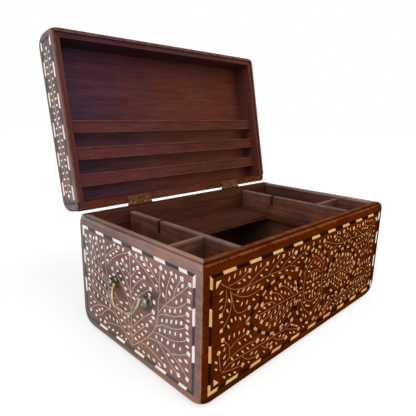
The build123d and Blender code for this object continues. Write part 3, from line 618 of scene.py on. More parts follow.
# Bone, ebony and brass; the amber bone, leaves, dashes and stems are painted as lit by the warm front
# light, the pale bone and stems as lit by the cool left light, and ivory is the bone's own tone
# The white of the painted highlight at the right end of the front's band
highlight_white = (0.86, 0.80, 0.74)
cool_lit_bone = bone("bone_cool_lit", (0.95, 0.87, 0.82), (0.82, 0.71, 0.64))
warm_lit_bone = bone("bone_warm_lit", (0.74, 0.43, 0.18), (0.60, 0.30, 0.11), warm_lit_gloss, highlight_white)
warm_lit_leaf = bone("bone_warm_lit_leaf", (0.79, 0.435, 0.182), (0.60, 0.285, 0.108), warm_lit_gloss, highlight_white)
ivory_bone = bone("bone_ivory", (0.78, 0.66, 0.50), (0.64, 0.48, 0.32))
cool_lit_stem = bone("bone_cool_lit_stem", (0.80, 0.66, 0.59), (0.66, 0.50, 0.43))
warm_lit_dash = bone("bone_warm_lit_dash", (0.56, 0.29, 0.11), (0.40, 0.18, 0.062), warm_lit_gloss)
warm_lit_stem = bone("bone_warm_lit_stem", (0.46, 0.21, 0.076), (0.34, 0.138, 0.044), warm_lit_gloss)
ivory_stem = bone("bone_ivory_stem", (0.56, 0.42, 0.29), (0.42, 0.28, 0.17))
# The ebony is one wood in two lit copies: the warm one painted as lit by the warm front light, the cool one
# as lit by the cool left light
warm_lit_ebony = dark_wood("ebony_warm_lit", (0.0075, 0.0028, 0.0016), (0.022, 0.0075, 0.0040), gloss=0.0)
cool_lit_ebony = dark_wood("ebony_cool_lit", (0.020, 0.017, 0.022), (0.048, 0.043, 0.055), gloss=0.2)
hinge_brass = brass("hinge_brass", (0.100, 0.040, 0.013), (0.034, 0.015, 0.008), (0.012, 0.007, 0.005),
                    small_blotch)
rose_brass = brass("rose_brass", (0.30, 0.285, 0.235), (0.060, 0.045, 0.027), (0.015, 0.012, 0.010),
                   small_blotch)
bail_brass = brass("bail_brass", (0.37, 0.355, 0.28), (0.30, 0.175, 0.065), (0.03, 0.024, 0.017),
                   bail_blotch)

# The finish of every node; those left out are the hinges, their pins and their screws
finish_of = {
    "front_board": front_wood, "back_board": back_wood, "bottom_board": shelf_wood,
    "shelf_back": shelf_wood, "shelf_front": shelf_wood, "lid_panel": lid_panel_wood,
    "lid_front_rail": lid_front_wood, "lid_back_rail": lid_rail_wood,
    "lower_batten": batten_wood, "middle_batten": batten_wood, "upper_batten": batten_wood,
    "front_bone_band": warm_lit_bone, "front_corner_triangles": warm_lit_bone, "front_ebony_band": warm_lit_ebony,
}
for side in ("left", "right"):
    finish_of |= {
        f"{side}_board": end_wood, f"{side}_divider": divider_wood, f"{side}_partition": partition_wood,
        f"shelf_{side}": shelf_cross_wood, f"lid_{side}_rail": lid_end_wood,
        f"{side}_bone_band": cool_lit_bone, f"lid_{side}_bone_band": cool_lit_bone,
        f"{side}_ebony_band": cool_lit_ebony, f"lid_{side}_ebony_band": cool_lit_ebony,
        f"{side}_roses": rose_brass, f"{side}_bail": bail_brass,
    }
for face in ("back", "lid_front", "lid_back", "lid_top"):
    finish_of[f"{face}_bone_band"] = ivory_bone
    finish_of[f"{face}_ebony_band"] = warm_lit_ebony
for node_name, node in frame["nodes"].items():
    node.data.materials.clear()
    node.data.materials.append(finish_of.get(node_name, hinge_brass))


# Rubbed corners: the outer boards, worn round at the corners of the foot, the rim and the lid's top
wall = 13 * mm
upright_round = 5 * mm
rub_step = 2.5 * mm
rub_sharpness = 3
crease = math.radians(40)
near_corner_share = 0.5
weld = 0.005 * mm
cut_reach = 0.001 * mm
nearly_flat = 0.9995
deepest_round = 1 - math.sqrt(0.5)
foot_rub = {"base": 0.0, "up": 1, "edge": 12 * mm, "corner": 40 * mm, "reach": 35 * mm}
case_rim_rub = {"base": case_height, "up": -1, "edge": 0.0, "corner": 13 * mm, "reach": 14 * mm}
lid_rim_rub = {"base": lid_edge, "up": 1, "edge": 0.0, "corner": 13 * mm, "reach": 14 * mm}
lid_top_rub = {"base": lid_top, "up": -1, "edge": 9 * mm, "corner": 30 * mm, "reach": 30 * mm}
case_rubs = (foot_rub, case_rim_rub)
lid_rubs = (lid_top_rub, lid_rim_rub)


def drawn_in(rise, edge):
    """How far the rounded edge has drawn in, at a height from the foot or from the lid's top."""
    short = max(edge - rise, 0.0)
    return edge - math.sqrt(edge ** 2 - short ** 2)


def rubbed(place, rub):
    """Where a point goes when the corner near it is worn round; the wear fades along the upright edge."""
    rise = max((place.z - rub["base"]) * rub["up"], 0.0)
    inset = drawn_in(rise, rub["edge"])
    share = max(1 - rise / rub["reach"], 0.0) ** rub_sharpness
    if rub is foot_rub and place.x < 0 and place.y < 0:
        share *= near_corner_share
    radius = upright_round + (rub["corner"] - upright_round) * share
    radius = min(radius, (wall - inset) / deepest_round)
    centre_x = case_half_length - inset - radius
    centre_y = case_half_depth - inset - radius
    off_x = abs(place.x) - centre_x
    off_y = abs(place.y) - centre_y
    off = math.hypot(off_x, off_y)
    if min(off_x, off_y) <= 0 or off <= radius:
        return place
    return Vector((math.copysign(centre_x + off_x * radius / off, place.x),
                   math.copysign(centre_y + off_y * radius / off, place.y), place.z))


def cut_finely(work, rub):
    """Cuts a board's faces across near the corners, so that they can follow the wear."""
    for step in range(round(rub["reach"] / rub_step)):
        cut = (step + 1) * rub_step
        planes = [(Vector((0, 0, rub["base"] + cut * rub["up"])), Vector((0, 0, 1)))]
        for side in (-1, 1):
            planes.append((Vector((side * (case_half_length - cut), 0, 0)), Vector((1, 0, 0))))
            planes.append((Vector((0, side * (case_half_depth - cut), 0)), Vector((0, 1, 0))))
        for point, normal in planes:
            everything = work.verts[:] + work.edges[:] + work.faces[:]
            bmesh.ops.bisect_plane(work, geom=everything, dist=cut_reach, plane_co=point, plane_no=normal)


def rub_corners(node_name, rubs, body, to_shut):
    """Stands in for an outer board with a copy whose corners are worn round."""
    work = bmesh.new()
    work.from_mesh(frame["nodes"][node_name].data)
    bmesh.ops.remove_doubles(work, verts=work.verts, dist=weld)
    work.transform(to_shut)
    for rub in rubs:
        cut_finely(work, rub)
    for vertex in work.verts:
        for rub in rubs:
            vertex.co = rubbed(vertex.co, rub)
    bmesh.ops.remove_doubles(work, verts=work.verts, dist=weld)
    bmesh.ops.triangulate(work, faces=work.faces)
    work.normal_update()
    for face in work.faces:
        face.smooth = max(abs(part) for part in face.normal) < nearly_flat
    work.transform(to_shut.inverted())
    mesh = bpy.data.meshes.new(f"{node_name}_worn")
    work.to_mesh(mesh)
    work.free()
    mesh.set_sharp_from_angle(angle=crease)
    mesh.materials.append(finish_of[node_name])
    piece = put_in_scene(f"{node_name}_worn", mesh)
    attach(piece, body)
    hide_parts(node_name)


for side in ("front", "back", "left", "right"):
    rub_corners(f"{side}_board", case_rubs, "case", Matrix())
    rub_corners(f"lid_{side}_rail", lid_rubs, "lid", lid_shutting)


# Geometry trees for the inlay
dash_steps = 8
inlay_sockets = {"Geometry": geometry, "Length": number, "Width": number, "Proud": inlay_proud,
                 "Sink": inlay_sink, "Material": "NodeSocketMaterial"}


def new_inlay_tree(name, own_sockets):
    nodes = new_group(name, inlay_sockets | own_sockets, ("Geometry",), geometry)
    return nodes, nodes.given


def end_tree(nodes, solid):
    """Closes a tree: realizes the pieces and gives them their material."""
    real = nodes.add("GeometryNodeRealizeInstances", {"Geometry": solid})
    dressed = {"Geometry": real, "Material": nodes.given["Material"]}
    return nodes.give(Geometry=nodes.add("GeometryNodeSetMaterial", dressed))


def sunk(nodes, solid):
    """Moves a solid that is centred on the face's surface down to its place in the wood."""
    drop = (nodes.given["Sink"] - nodes.given["Proud"]) * 0.5
    return nodes.add("GeometryNodeSetPosition", {"Geometry": solid, "Offset": nodes.triple(z=drop)})


def scattered(nodes, low, high):
    """A random number for each point, between two values."""
    return nodes.add("FunctionNodeRandomValue", {2: low, 3: high, "Seed": nodes.given["Seed"]}, 1)


def smooth_line(nodes, steps):
    """Turns the drawn edges into smooth lines through their points."""
    line = nodes.add("GeometryNodeMeshToCurve", {"Mesh": nodes.given["Geometry"]})
    smooth = nodes.add("GeometryNodeCurveSplineType", {"Curve": line}, spline_type="CATMULL_ROM")
    finer = nodes.add("GeometryNodeSetSplineResolution", {"Geometry": smooth, "Resolution": steps})
    return nodes.add("GeometryNodeSetCurveNormal", {"Curve": finer}, mode="Z_UP")


def make_leaf_tree():
    """Sets a flat pointed leaf or lozenge at every point, turned by the point's lean."""
    nodes, given = new_inlay_tree("inlay_leaves", {
        "Sides": leaf_sides, "Taper": leaf_taper, "Lean Scatter": 0.0, "Size Scatter": 0.0, "Seed": 0})
    disc = nodes.add("GeometryNodeMeshCylinder", {"Vertices": given["Sides"], "Radius": 1.0, "Depth": 1.0})
    x, y, z = nodes.add("GeometryNodeInputPosition").parts()
    along = x * (given["Length"] * 0.5)
    across = abs(y) ** given["Taper"] * y.math("SIGN", y) * (given["Width"] * 0.5)
    depth = (z + 0.5) * (given["Proud"] + given["Sink"]) - given["Proud"]
    shaped = {"Geometry": disc, "Position": nodes.triple(along, across, depth)}
    leaf = nodes.add("GeometryNodeSetPosition", shaped)
    lean = nodes.add("GeometryNodeInputNamedAttribute", {"Name": "lean"}, data_type="FLOAT")
    sway = scattered(nodes, given["Lean Scatter"] * -1.0, given["Lean Scatter"])
    size = scattered(nodes, 1.0 - given["Size Scatter"], given["Size Scatter"] + 1.0)
    placed = {"Points": given["Geometry"], "Instance": leaf, "Rotation": nodes.triple(z=lean + sway),
              "Scale": nodes.triple(size, size, 1.0)}
    return end_tree(nodes, nodes.add("GeometryNodeInstanceOnPoints", placed))


def make_stem_tree():
    """Lays a thin flat strip along every drawn line."""
    nodes, given = new_inlay_tree("inlay_stems", {"Steps": stem_steps})
    line = smooth_line(nodes, given["Steps"])
    size = {"Width": given["Width"], "Height": given["Proud"] + given["Sink"]}
    section = nodes.add("GeometryNodeCurvePrimitiveQuadrilateral", size)
    sweep = {"Curve": line, "Profile Curve": section, "Fill Caps": True}
    return end_tree(nodes, sunk(nodes, nodes.add("GeometryNodeCurveToMesh", sweep)))


def make_dash_tree():
    """Sets every second dash of a broken line, starting from the first or the second."""
    nodes, given = new_inlay_tree("inlay_dashes", {"Pitch": dash_pitch, "Odd": 0})
    spaced = {"Curve": smooth_line(nodes, dash_steps), "Length": given["Pitch"]}
    steps = nodes.add("GeometryNodeResampleCurve", spaced, mode="LENGTH")
    parity = nodes.add("GeometryNodeSplineParameter", output="Index") % 2.0
    match = {"A": parity, "B": given["Odd"], "Epsilon": 0.1}
    chosen = nodes.add("FunctionNodeCompare", match, operation="EQUAL", data_type="FLOAT")
    size = nodes.triple(given["Length"], given["Width"], given["Proud"] + given["Sink"])
    block = sunk(nodes, nodes.add("GeometryNodeMeshCube", {"Size": size}))
    heading = {"Vector": nodes.add("GeometryNodeInputTangent")}
    turn = nodes.add("FunctionNodeAlignRotationToVector", heading, axis="X", pivot_axis="Z")
    placed = {"Points": steps, "Selection": chosen, "Instance": block, "Rotation": turn}
    return end_tree(nodes, nodes.add("GeometryNodeInstanceOnPoints", placed))


leaf_tree = make_leaf_tree()
stem_tree = make_stem_tree()
dash_tree = make_dash_tree()


def grow(name, drawing, tree, values, face, body):
    """Grows a drawing into a plain mesh with a tree, and sets it in a face of the box."""
    piece = put_in_scene(name, drawing)
    growth = piece.modifiers.new("growth", "NODES")
    growth.node_group = tree
    for socket in tree.interface.items_tree:
        if socket.in_out == "INPUT" and socket.name in values:
            growth[socket.identifier] = values[socket.name]
    evaluated = piece.evaluated_get(bpy.context.evaluated_depsgraph_get())
    result = bpy.data.meshes.new_from_object(evaluated)
    piece.modifiers.remove(growth)
    piece.data = result
    result.transform(face)
    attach(piece, body)


# Faces of the box: x to the right, y down from the top edge, z into the wood
def face_frame(start, right, down):
    right, down = Vector(right), Vector(down)
    turned = Matrix((right, down, right.cross(down))).transposed().to_4x4()
    turned.translation = Vector(start)
    return turned


def four_faces(top):
    down = (0, 0, -1)
    return {
        "front": face_frame((0, -case_half_depth, top), (1, 0, 0), down),
        "back": face_frame((0, case_half_depth, top), (-1, 0, 0), down),
        "left": face_frame((-case_half_length, 0, top), (0, -1, 0), down),
        "right": face_frame((case_half_length, 0, top), (0, 1, 0), down),
    }


case_faces = four_faces(case_height)
lid_faces = {name: lid_opening @ face for name, face in four_faces(lid_top).items()}
lid_faces["top"] = lid_opening @ face_frame((0, case_half_depth, lid_top), (1, 0, 0), (0, -1, 0))


# Inlay drawings: a stem is points, a leaf is (x, y, lean), a row is (start, end, count, lean in degrees)
def point_mesh(name, leaves):
    mesh = bpy.data.meshes.new(name)
    mesh.from_pydata([(x * mm, y * mm, 0) for x, y, lean in leaves], [], [])
    attribute = mesh.attributes.new("lean", "FLOAT", "POINT")
    for item, (x, y, lean) in zip(attribute.data, leaves):
        item.value = math.radians(lean)
    return mesh


def line_mesh(name, lines):
    points = []
    edges = []
    for line in lines:
        first = len(points)
        points += [(x * mm, y * mm, 0) for x, y in line]
        edges += [(i, i + 1) for i in range(first, first + len(line) - 1)]
    mesh = bpy.data.meshes.new(name)
    mesh.from_pydata(points, edges, [])
    return mesh


def leaves_of(rows):
    """All the leaves of a list of rows and of leaves that stand alone."""
    leaves = []
    for part in rows:
        if len(part) == 3:
            leaves.append(part)
            continue
        (x0, y0), (x1, y1), count, lean = part
        shares = [i / (count - 1) for i in range(count)]
        leaves += [(x0 + (x1 - x0) * share, y0 + (y1 - y0) * share, lean) for share in shares]
    return leaves


def mirrored(points):
    """The same points or leaves on the other half of the face."""
    return [(-x, y, *(-lean for lean in leans)) for x, y, *leans in points]


def both_halves(points):
    return points + mirrored(points)


def lines_on_both_halves(lines):
    return lines + [mirrored(line) for line in lines]


def heading(line):
    (x0, y0), (x1, y1) = line[-2:]
    return math.degrees(math.atan2(y1 - y0, x1 - x0))


def buds_of(stems):
    return [(*stem[-1], heading(stem)) for stem in stems]


def lay_vine(name, design, face, body, finish, stem_finish):
    """Sets a whole design in one face: stems, leaves and buds."""
    common = {"Proud": inlay_proud, "Sink": inlay_sink, "Seed": inlay_seed}
    stems = {**common, "Width": stem_width, "Steps": stem_steps, "Material": stem_finish}
    grow(f"{name}_stems", line_mesh("stems", design["stems"]), stem_tree, stems, face, body)
    uneven = {**common, "Lean Scatter": lean_scatter, "Size Scatter": size_scatter, "Material": finish}
    length, width = design.get("leaf_size", (leaf_length, leaf_width))
    leaves = {**uneven, "Length": length, "Width": width, "Sides": leaf_sides, "Taper": leaf_taper}
    grow(f"{name}_leaves", point_mesh("leaves", design["leaves"]), leaf_tree, leaves, face, body)
    buds = {**uneven, "Length": bud_length, "Width": bud_width, "Sides": bud_sides, "Taper": 1.0}
    grow(f"{name}_buds", point_mesh("buds", design["buds"]), leaf_tree, buds, face, body)


def lay_dashes(name, lines, face, body, light_finish, dark_finish):
    """Sets a broken line of bone and ebony dashes."""
    kinds = (("bone", 0, bone_dash, light_finish), ("ebony", 1, ebony_dash, dark_finish))
    for kind, first, (length, width), finish in kinds:
        values = {"Proud": inlay_proud, "Sink": inlay_sink, "Pitch": dash_pitch, "Length": length,
                  "Width": width, "Odd": first, "Material": finish}
        grow(f"{name}_{kind}_dashes", line_mesh("dashes", lines), dash_tree, values, face, body)


def lay_inlay(name, design, face, body, finish, stem_finish, dash_finish=None):
    """Sets a face's vine, and its cartouche if it has one."""
    lay_vine(f"{name}_vine", design, face, body, finish, stem_finish)
    if dash_finish:
        lay_dashes(f"{name}_cartouche", design["dashes"], face, body, dash_finish, warm_lit_ebony)


# The front's design: half of it, from the left edge and down from the top, with X scaled to the face
front_half = 228.5
corner_stems = [
    [(29, 27), (38, 33.5), (47, 38.5), (61, 42.5), (76, 43.3), (114, 41.5), (143, 42), (164, 40),
     (184, 34), (206, 26.5)],
    [(41, 33), (60, 31), (77, 24.3)],
    [(74, 43), (87, 36), (111.5, 25)],
    [(115, 41.5), (129, 32), (146, 23.5)],
    [(143.5, 41), (156, 31.5), (175, 26)],
    [(44, 41.5), (54, 48.5), (68.5, 55), (83, 57), (103, 54.6)],
    [(43.5, 39), (48.5, 54), (53, 67), (63, 73.5), (79, 72.5)],
    [(37, 36.5), (37.5, 47), (35, 57), (29, 64.7)],
    [(44, 41.5), (46.5, 54), (44, 67), (38.5, 77), (30.5, 84)],
    [(164, 43), (173, 44), (180, 51)],
]
corner_rows = [
    ((41, 24.5), (69, 21.5), 4, -70), ((89, 25.4), (98, 23.6), 2, -75),
    ((124, 24.8), (134, 21.8), 2, -60), ((159, 23.4), (167, 22), 2, -75),
    ((187.5, 23.6), (196.5, 22.9), 2, -75), (220, 23.8, -80), ((58.6, 34.7), (76.8, 32.6), 3, 30),
    ((100.7, 37.5), (110, 32.6), 2, 32), ((134, 34.8), (142.4, 31.4), 2, 30),
    ((160.5, 35.4), (170.5, 32), 2, 20), ((183.6, 42), (201.5, 33.7), 3, 22),
    ((57.4, 45), (95, 49.4), 5, -40), ((114, 48), (124, 44.6), 2, 35),
    ((139.5, 44.8), (155.7, 46), 2, 15), (168.6, 50.3, 40), (57, 56.8, 25),
    ((65, 62.8), (74.3, 63.9), 2, -60), ((87.5, 64.7), (94.6, 60.9), 2, 30),
    ((29, 37.2), (29, 55), 3, -30), (31, 73.5, 20), (42.3, 51, 55), (39.7, 62.6, 55), (42.5, 83.5, 60),
    ((47.6, 77.7), (54.5, 77.6), 2, 70), ((63.2, 81), (71.5, 81), 2, 60),
]
lower_stems = [
    [(33.5, 140), (47, 134), (68.5, 133), (100, 134), (136, 134), (163, 135), (176, 140), (197, 147.4)],
    [(35, 139.7), (54, 144), (71.5, 147)],
    [(69.5, 134), (80, 143), (101, 148.7)],
    [(108.5, 137), (118.5, 144), (130.5, 148.7)],
    [(135, 136.5), (147, 144), (165, 148.3)],
    [(164, 134), (173.5, 130), (177, 126)],
    [(41.5, 127), (60, 123.5), (80, 122), (99.5, 125.4)],
    [(45.7, 126.5), (46.4, 117), (44.3, 108.5), (33.5, 97)],
    [(48, 114.3), (57, 108.5), (79, 105.9)],
    [(31.4, 137), (30, 128.5), (27.4, 111)],
]
lower_rows = [
    ((44.6, 98.2), (71, 99.8), 4, -80), (34, 103.6, 20), (37, 110.3, -60),
    ((37.6, 120.5), (38, 129), 2, -45), ((23.6, 121.4), (23.6, 130.3), 2, 40),
    ((64, 114), (85, 113.3), 3, 50), ((51, 129), (90, 127.6), 5, 45),
    ((110.5, 128.8), (121, 131.6), 2, -20), (135.5, 131.8, 30), ((152, 129.8), (163.5, 127.5), 2, -30),
    ((38, 147.5), (57.4, 150.6), 3, 45), (83.4, 148.8, 45), (115, 148.2, 50), (142.4, 147.9, 60),
    ((176, 145.7), (185.6, 148.8), 2, 40), (209.7, 149.3, 40), ((53.4, 138.7), (63.3, 140.2), 2, -35),
    ((88.6, 138.9), (97.9, 141.4), 2, -30), ((121.8, 140.7), (130, 142.4), 2, -30),
    ((150.2, 139.8), (159, 142.6), 2, -25), ((178.5, 134), (191.5, 141), 3, 20),
]
cartouche_stems = [
    [(200, 89.7), (150, 89.6), (95, 90.2)],
    [(134.3, 87), (125.7, 81.4), (105.5, 78.1)],
    [(154.3, 87.4), (140, 74.3), (123, 67.5)],
    [(177, 88), (161.4, 72.9), (142.5, 63)],
    [(135, 92), (122.9, 98.6), (106, 101.7)],
    [(151.4, 92.9), (137, 104.3), (118, 109.6)],
    [(175.7, 92.9), (157, 105.7), (136.2, 116.6)],
]
cartouche_rows = [
    ((100, 85.2), (120.5, 82.8), 3, 30), ((113, 71), (143.5, 83.3), 4, 55), (132.4, 65, 60),
    ((146.6, 73.8), (164.4, 82.4), 3, 60), ((153.4, 61.4), (185.4, 85.2), 5, 65),
    ((101.6, 94.6), (120.8, 94.3), 3, -60), ((126.3, 102.4), (143.4, 94.6), 3, -70),
    ((138.5, 109), (162.4, 95.5), 4, -70), (124.6, 115.5, -60),
    ((148.2, 117.8), (180.2, 95.7), 5, -60), (195, 73, 40), (194.5, 83.2, 20),
    ((193.8, 94.4), (194, 102), 2, -10),
]
medallion_stems = [
    [(203, 63), (214, 53.5), (228.5, 43.5)],
    [(210, 74), (218.5, 68), (228.5, 65.7)],
    [(200, 60), (204.3, 71), (202, 80), (203.5, 90), (207, 103), (217, 110.7), (228.5, 113.6)],
    [(203.5, 90), (200.7, 100), (201.5, 111), (212, 124), (223, 131.5)],
]
medallion_rows = [
    (214.3, 88.9, 0), (219.8, 81, 25), (219.5, 96.3, 0), (211.4, 80, 25), (222, 72.9, 70),
    (210, 95.3, 0), (221.3, 105, -60), (207.5, 109.7, 20), ((214.5, 117), (221, 120), 2, 15),
    (200.5, 118.5, 60), (206.6, 129.5, 60), (214.6, 134.4, 70), ((213.5, 63.5), (219, 57.7), 2, 25),
    (204, 53.5, 60), (211.7, 46.3, -60), (220.4, 41.3, 80),
]
centre_rows = [((0, 72.5), (0, 79.5), 2, 90), (0, 99.3, 90), (0, 53.5, 90), (0, 106.5, 90)]
centre_buds = [(0, 88.9, 0), (0, 36.5, 90), (0, 134.5, 90)]
lobe_dashes = [
    [(78, 88), (96.9, 73.3), (113.9, 59.3), (131.7, 52.4), (152.9, 53.9), (171, 63.6), (187, 77)],
    [(78, 93), (89.3, 102.9), (107.4, 117), (130.7, 127.6), (157, 123.6), (173.3, 113.6), (186, 102)],
]
crown_dashes = [
    [(228.5, 29.5), (217.6, 33), (199.3, 47), (187, 67), (182.5, 78)],
    [(228.5, 148), (214.7, 144.3), (198, 131.4), (186, 112), (182.5, 102)],
]
top_shift = 47
stems_not_on_top = (4, 9)


def from_centre(points):
    """Takes points or leaves drawn from the left edge to places measured from the middle of the face."""
    share = case_half_length / mm / front_half
    return [((x - front_half) * share, *rest) for x, *rest in points]


def lowered(points):
    """Moves points or leaves of the front's cartouche down to the middle of the lid's top."""
    return [(x, y + top_shift, *rest) for x, y, *rest in points]


def turned_over(points):
    """The same points or leaves at the far edge of the lid's top."""
    depth = 2 * case_half_depth / mm
    return [(x, depth - y, *(-lean for lean in leans)) for x, y, *leans in points]


def cartouche_dashes():
    """The broken lines of the cartouche: the side lobes, and the arcs that cross the middle."""
    lobes = lines_on_both_halves([from_centre(line) for line in lobe_dashes])
    arcs = [from_centre(line) for line in crown_dashes]
    return lobes + [mirrored(reversed(line)) + line[1:] for line in arcs]


def front_design():
    budded = [from_centre(stem) for stem in corner_stems + lower_stems + cartouche_stems]
    bare = [from_centre(stem) for stem in medallion_stems]
    leaves = from_centre(leaves_of(corner_rows + lower_rows + cartouche_rows + medallion_rows))
    return {
        "stems": lines_on_both_halves(budded + bare),
        "leaves": both_halves(leaves) + leaves_of(centre_rows),
        "buds": both_halves(buds_of(budded)) + centre_buds,
        "dashes": cartouche_dashes(),
        "leaf_size": (front_leaf_length, front_leaf_width),
    }


def top_design():
    """The lid's top: a corner spray in each corner and the front's cartouche in the middle."""
    sprays = [from_centre(stem) for i, stem in enumerate(corner_stems) if i not in stems_not_on_top]
    inner = [lowered(from_centre(stem)) for stem in cartouche_stems]
    rings = [lowered(from_centre(stem)) for stem in medallion_stems]
    spray_leaves = from_centre(leaves_of(corner_rows))
    inner_leaves = lowered(from_centre(leaves_of(cartouche_rows + medallion_rows)))
    budded = sprays + [turned_over(stem) for stem in sprays] + inner
    leaves = both_halves(spray_leaves + turned_over(spray_leaves) + inner_leaves)
    return {
        "stems": lines_on_both_halves(budded + rings),
        "leaves": leaves + lowered(leaves_of(centre_rows)),
        "buds": both_halves(buds_of(budded)) + lowered(centre_buds),
        "dashes": [lowered(line) for line in cartouche_dashes()],
    }


# The end's design: half of it, in millimetres from the middle and down from the top
end_stems = [
    [(0, 154.5), (0, 74), (0, 22)],
    [(1, 53), (9, 45.3), (17, 36)],
    [(0.5, 76), (9.5, 62.7), (19, 53), (30.5, 44.5)],
    [(0.5, 99), (13, 79), (27, 66.7), (43, 55.6)],
    [(0, 126.7), (15.2, 110.7), (33.8, 94.7), (48, 84.2)],
    [(0, 139.3), (12.5, 126.7), (25.8, 114.7), (34.5, 107.8)],
    [(0, 152.7), (15.2, 141.3), (32.5, 126.7), (45.8, 112), (53.8, 98.7), (57.8, 82.7), (64.5, 73.3),
     (73.8, 62.7), (87.2, 50.7), (100.5, 38.7), (113.5, 26)],
    [(57.8, 82.7), (58.5, 64), (61.8, 54.7), (60.5, 40), (63.5, 22)],
    [(72.5, 61.3), (74.5, 44), (82.8, 22.5)],
    [(85.8, 51.3), (91.2, 37.3), (100.5, 23.4)],
    [(71.2, 66.7), (88.5, 62.7), (100.5, 56), (111.8, 45.4)],
    [(58.5, 85.3), (65.8, 80), (84.5, 74.7), (97.8, 69.3), (110.3, 62)],
    [(53.8, 101.3), (64.5, 94.7), (84.5, 90.7), (97.8, 85.3), (109.3, 78)],
    [(47.2, 111.3), (60.5, 108.7), (81.8, 106.7), (97.8, 101.3), (111, 92.8)],
    [(83.2, 124), (97.8, 118.7), (112.2, 110)],
    [(35.2, 125.3), (45.8, 122), (61.8, 120.7), (79.2, 124), (95.2, 130.7), (108.5, 140),
     (110.3, 143.5)],
    [(56.5, 121.3), (68.5, 129.3), (80.5, 140), (95, 146.3)],
    [(21.8, 138), (32.5, 137.3), (48.5, 141.3), (69.7, 147.1)],
    [(59.2, 42.7), (44.5, 30.7), (26, 21)],
]
end_bare_stems = [[(57, 54), (44.5, 42.7), (28.5, 32), (4, 22)]]
end_extra_buds = [(50, 70.4, 45)]
end_rows = [
    ((31.2, 27.7), (46.5, 37.7), 3, 10), (55.2, 47, 20), (14.8, 20.7, 70),
    ((36.2, 19.6), (54, 28.4), 3, 60), (72.9, 24, 70), (68.5, 31.7, 60), (67.2, 41.7, 60),
    (67.8, 54.4, 45), (85.2, 30.3, 50), ((82.8, 39), (79.2, 47.7), 2, 55), (90.9, 23.7, 75),
    ((101.8, 31.3), (94.8, 38), 2, -70), (113.8, 35.3, 0), ((100.2, 48.7), (91.5, 54.4), 2, -75),
    (113.8, 53.3, 0), ((98.5, 62.7), (70.5, 73.3), 4, -75), (110.9, 69.6, 0),
    ((99.8, 77), (65.2, 88), 5, -75), (109.8, 85.3, 10), ((99.2, 92.3), (60.5, 103), 5, -75),
    (110.2, 102, 0), ((98.1, 110.4), (53.5, 115.3), 5, -75), (108.5, 121.3, 15), (98.2, 125.7, 0),
    (109.5, 132, 10), ((76.5, 128.7), (92.2, 138.3), 3, 10), ((35.8, 132.4), (55.2, 132.4), 3, -60),
    (64.9, 139, -20), (82.2, 148.7, 80), ((14.8, 149.7), (58.9, 151), 5, 25),
    ((8.2, 30.3), (7.8, 40.7), 2, -60), (20.5, 41.7, 0), (15.8, 48.7, -10), (8.2, 57.3, 0),
    (23.2, 60, 0), (30.2, 55, 10), ((16.9, 67), (6.5, 81.3), 3, -10), (40.5, 63.7, 10), (9.8, 94.4, 0),
    (23.2, 98.4, 0), ((47.5, 92), (42.5, 99), 2, 0), ((13.8, 104.4), (7.2, 112.3), 2, 0),
    ((16.1, 118), (24.8, 111), 2, 0), ((31.5, 117.6), (23.8, 125.3), 2, 0), (6.5, 127.3, 0),
    ((16.9, 132), (8.5, 138.7), 2, 0),
]


def end_design():
    centre_stem = end_stems[:1]
    branches = end_stems[1:]
    return {
        "stems": centre_stem + lines_on_both_halves(branches + end_bare_stems),
        "leaves": both_halves(leaves_of(end_rows)),
        "buds": buds_of(centre_stem) + both_halves(buds_of(branches) + end_extra_buds),
    }


# The lid's side: a straight vine with leaves in pairs, between lozenges, in millimetres from the middle
vine_depth = 30.5
pair_offset = 6.5
pair_pitch = 9.6
pair_lean = 76
end_vine_buds = (-109, 0, 109)
long_vine_buds = (-194, -97, 0, 97, 194)


def vine_design(bud_places):
    """A straight vine: lozenges at the given places, and leaf pairs that lean away from the middle."""
    leaves = []
    for first, last in zip(bud_places, bud_places[1:]):
        count = int((last - first - pair_pitch) // pair_pitch) + 1
        start = (first + last - (count - 1) * pair_pitch) / 2
        outward = 1 if first + last > 0 else -1
        for i in range(count):
            x = start + i * pair_pitch
            leaves.append((x, vine_depth - pair_offset, -pair_lean * outward))
            leaves.append((x, vine_depth + pair_offset, pair_lean * outward))
    return {
        "stems": [[(x, vine_depth) for x in (bud_places[0], 0, bud_places[-1])]],
        "leaves": leaves,
        "buds": [(x, vine_depth, 0) for x in bud_places],
        "leaf_size": (vine_leaf_length, vine_leaf_width),
    }


front_drawing = front_design()
end_drawing = end_design()
lid_end_drawing = vine_design(end_vine_buds)
lid_long_drawing = vine_design(long_vine_buds)
# Bone pairs: ivory, the bone's own tone, for the back and the lid's front, back and top; pale, painted as
# lit by the cool left light, for the ends; the front takes the amber bone, painted as lit by the warm front
# light
ivory = (ivory_bone, ivory_stem)
pale = (cool_lit_bone, cool_lit_stem)

lay_inlay("front", front_drawing, case_faces["front"], "case", warm_lit_leaf, warm_lit_stem, warm_lit_dash)
lay_inlay("back", front_drawing, case_faces["back"], "case", *ivory, ivory_bone)
for side in ("left", "right"):
    lay_inlay(side, end_drawing, case_faces[side], "case", *pale)
for side in ("left", "right"):
    lay_inlay(f"lid_{side}", lid_end_drawing, lid_faces[side], "lid", *pale)
for side in ("front", "back"):
    lay_inlay(f"lid_{side}", lid_long_drawing, lid_faces[side], "lid", *ivory)
lay_inlay("lid_top", top_design(), lid_faces["top"], "lid", *ivory, ivory_bone)


# Floor: pale paper, white to the camera and in reflections except where the box shades it
floor_reach = 6.0
floor_glow = 0.58
floor_paper = 0.47
floor_change = 0.02
floor_roughness = 0.9
floor_ageing = {"Blotch Size": 0.6, "Grain Size": 3 * mm}
white = (1, 1, 1)


def seen_directly(nodes):
    """1 for what the camera sees, straight or in a reflection, and 0 for bounced light."""
    seen = nodes.add("ShaderNodeLightPath", output="Is Camera Ray")
    for kind in ("Glossy", "Transmission"):
        seen = most(seen, nodes.add("ShaderNodeLightPath", output=f"Is {kind} Ray"))
    return seen


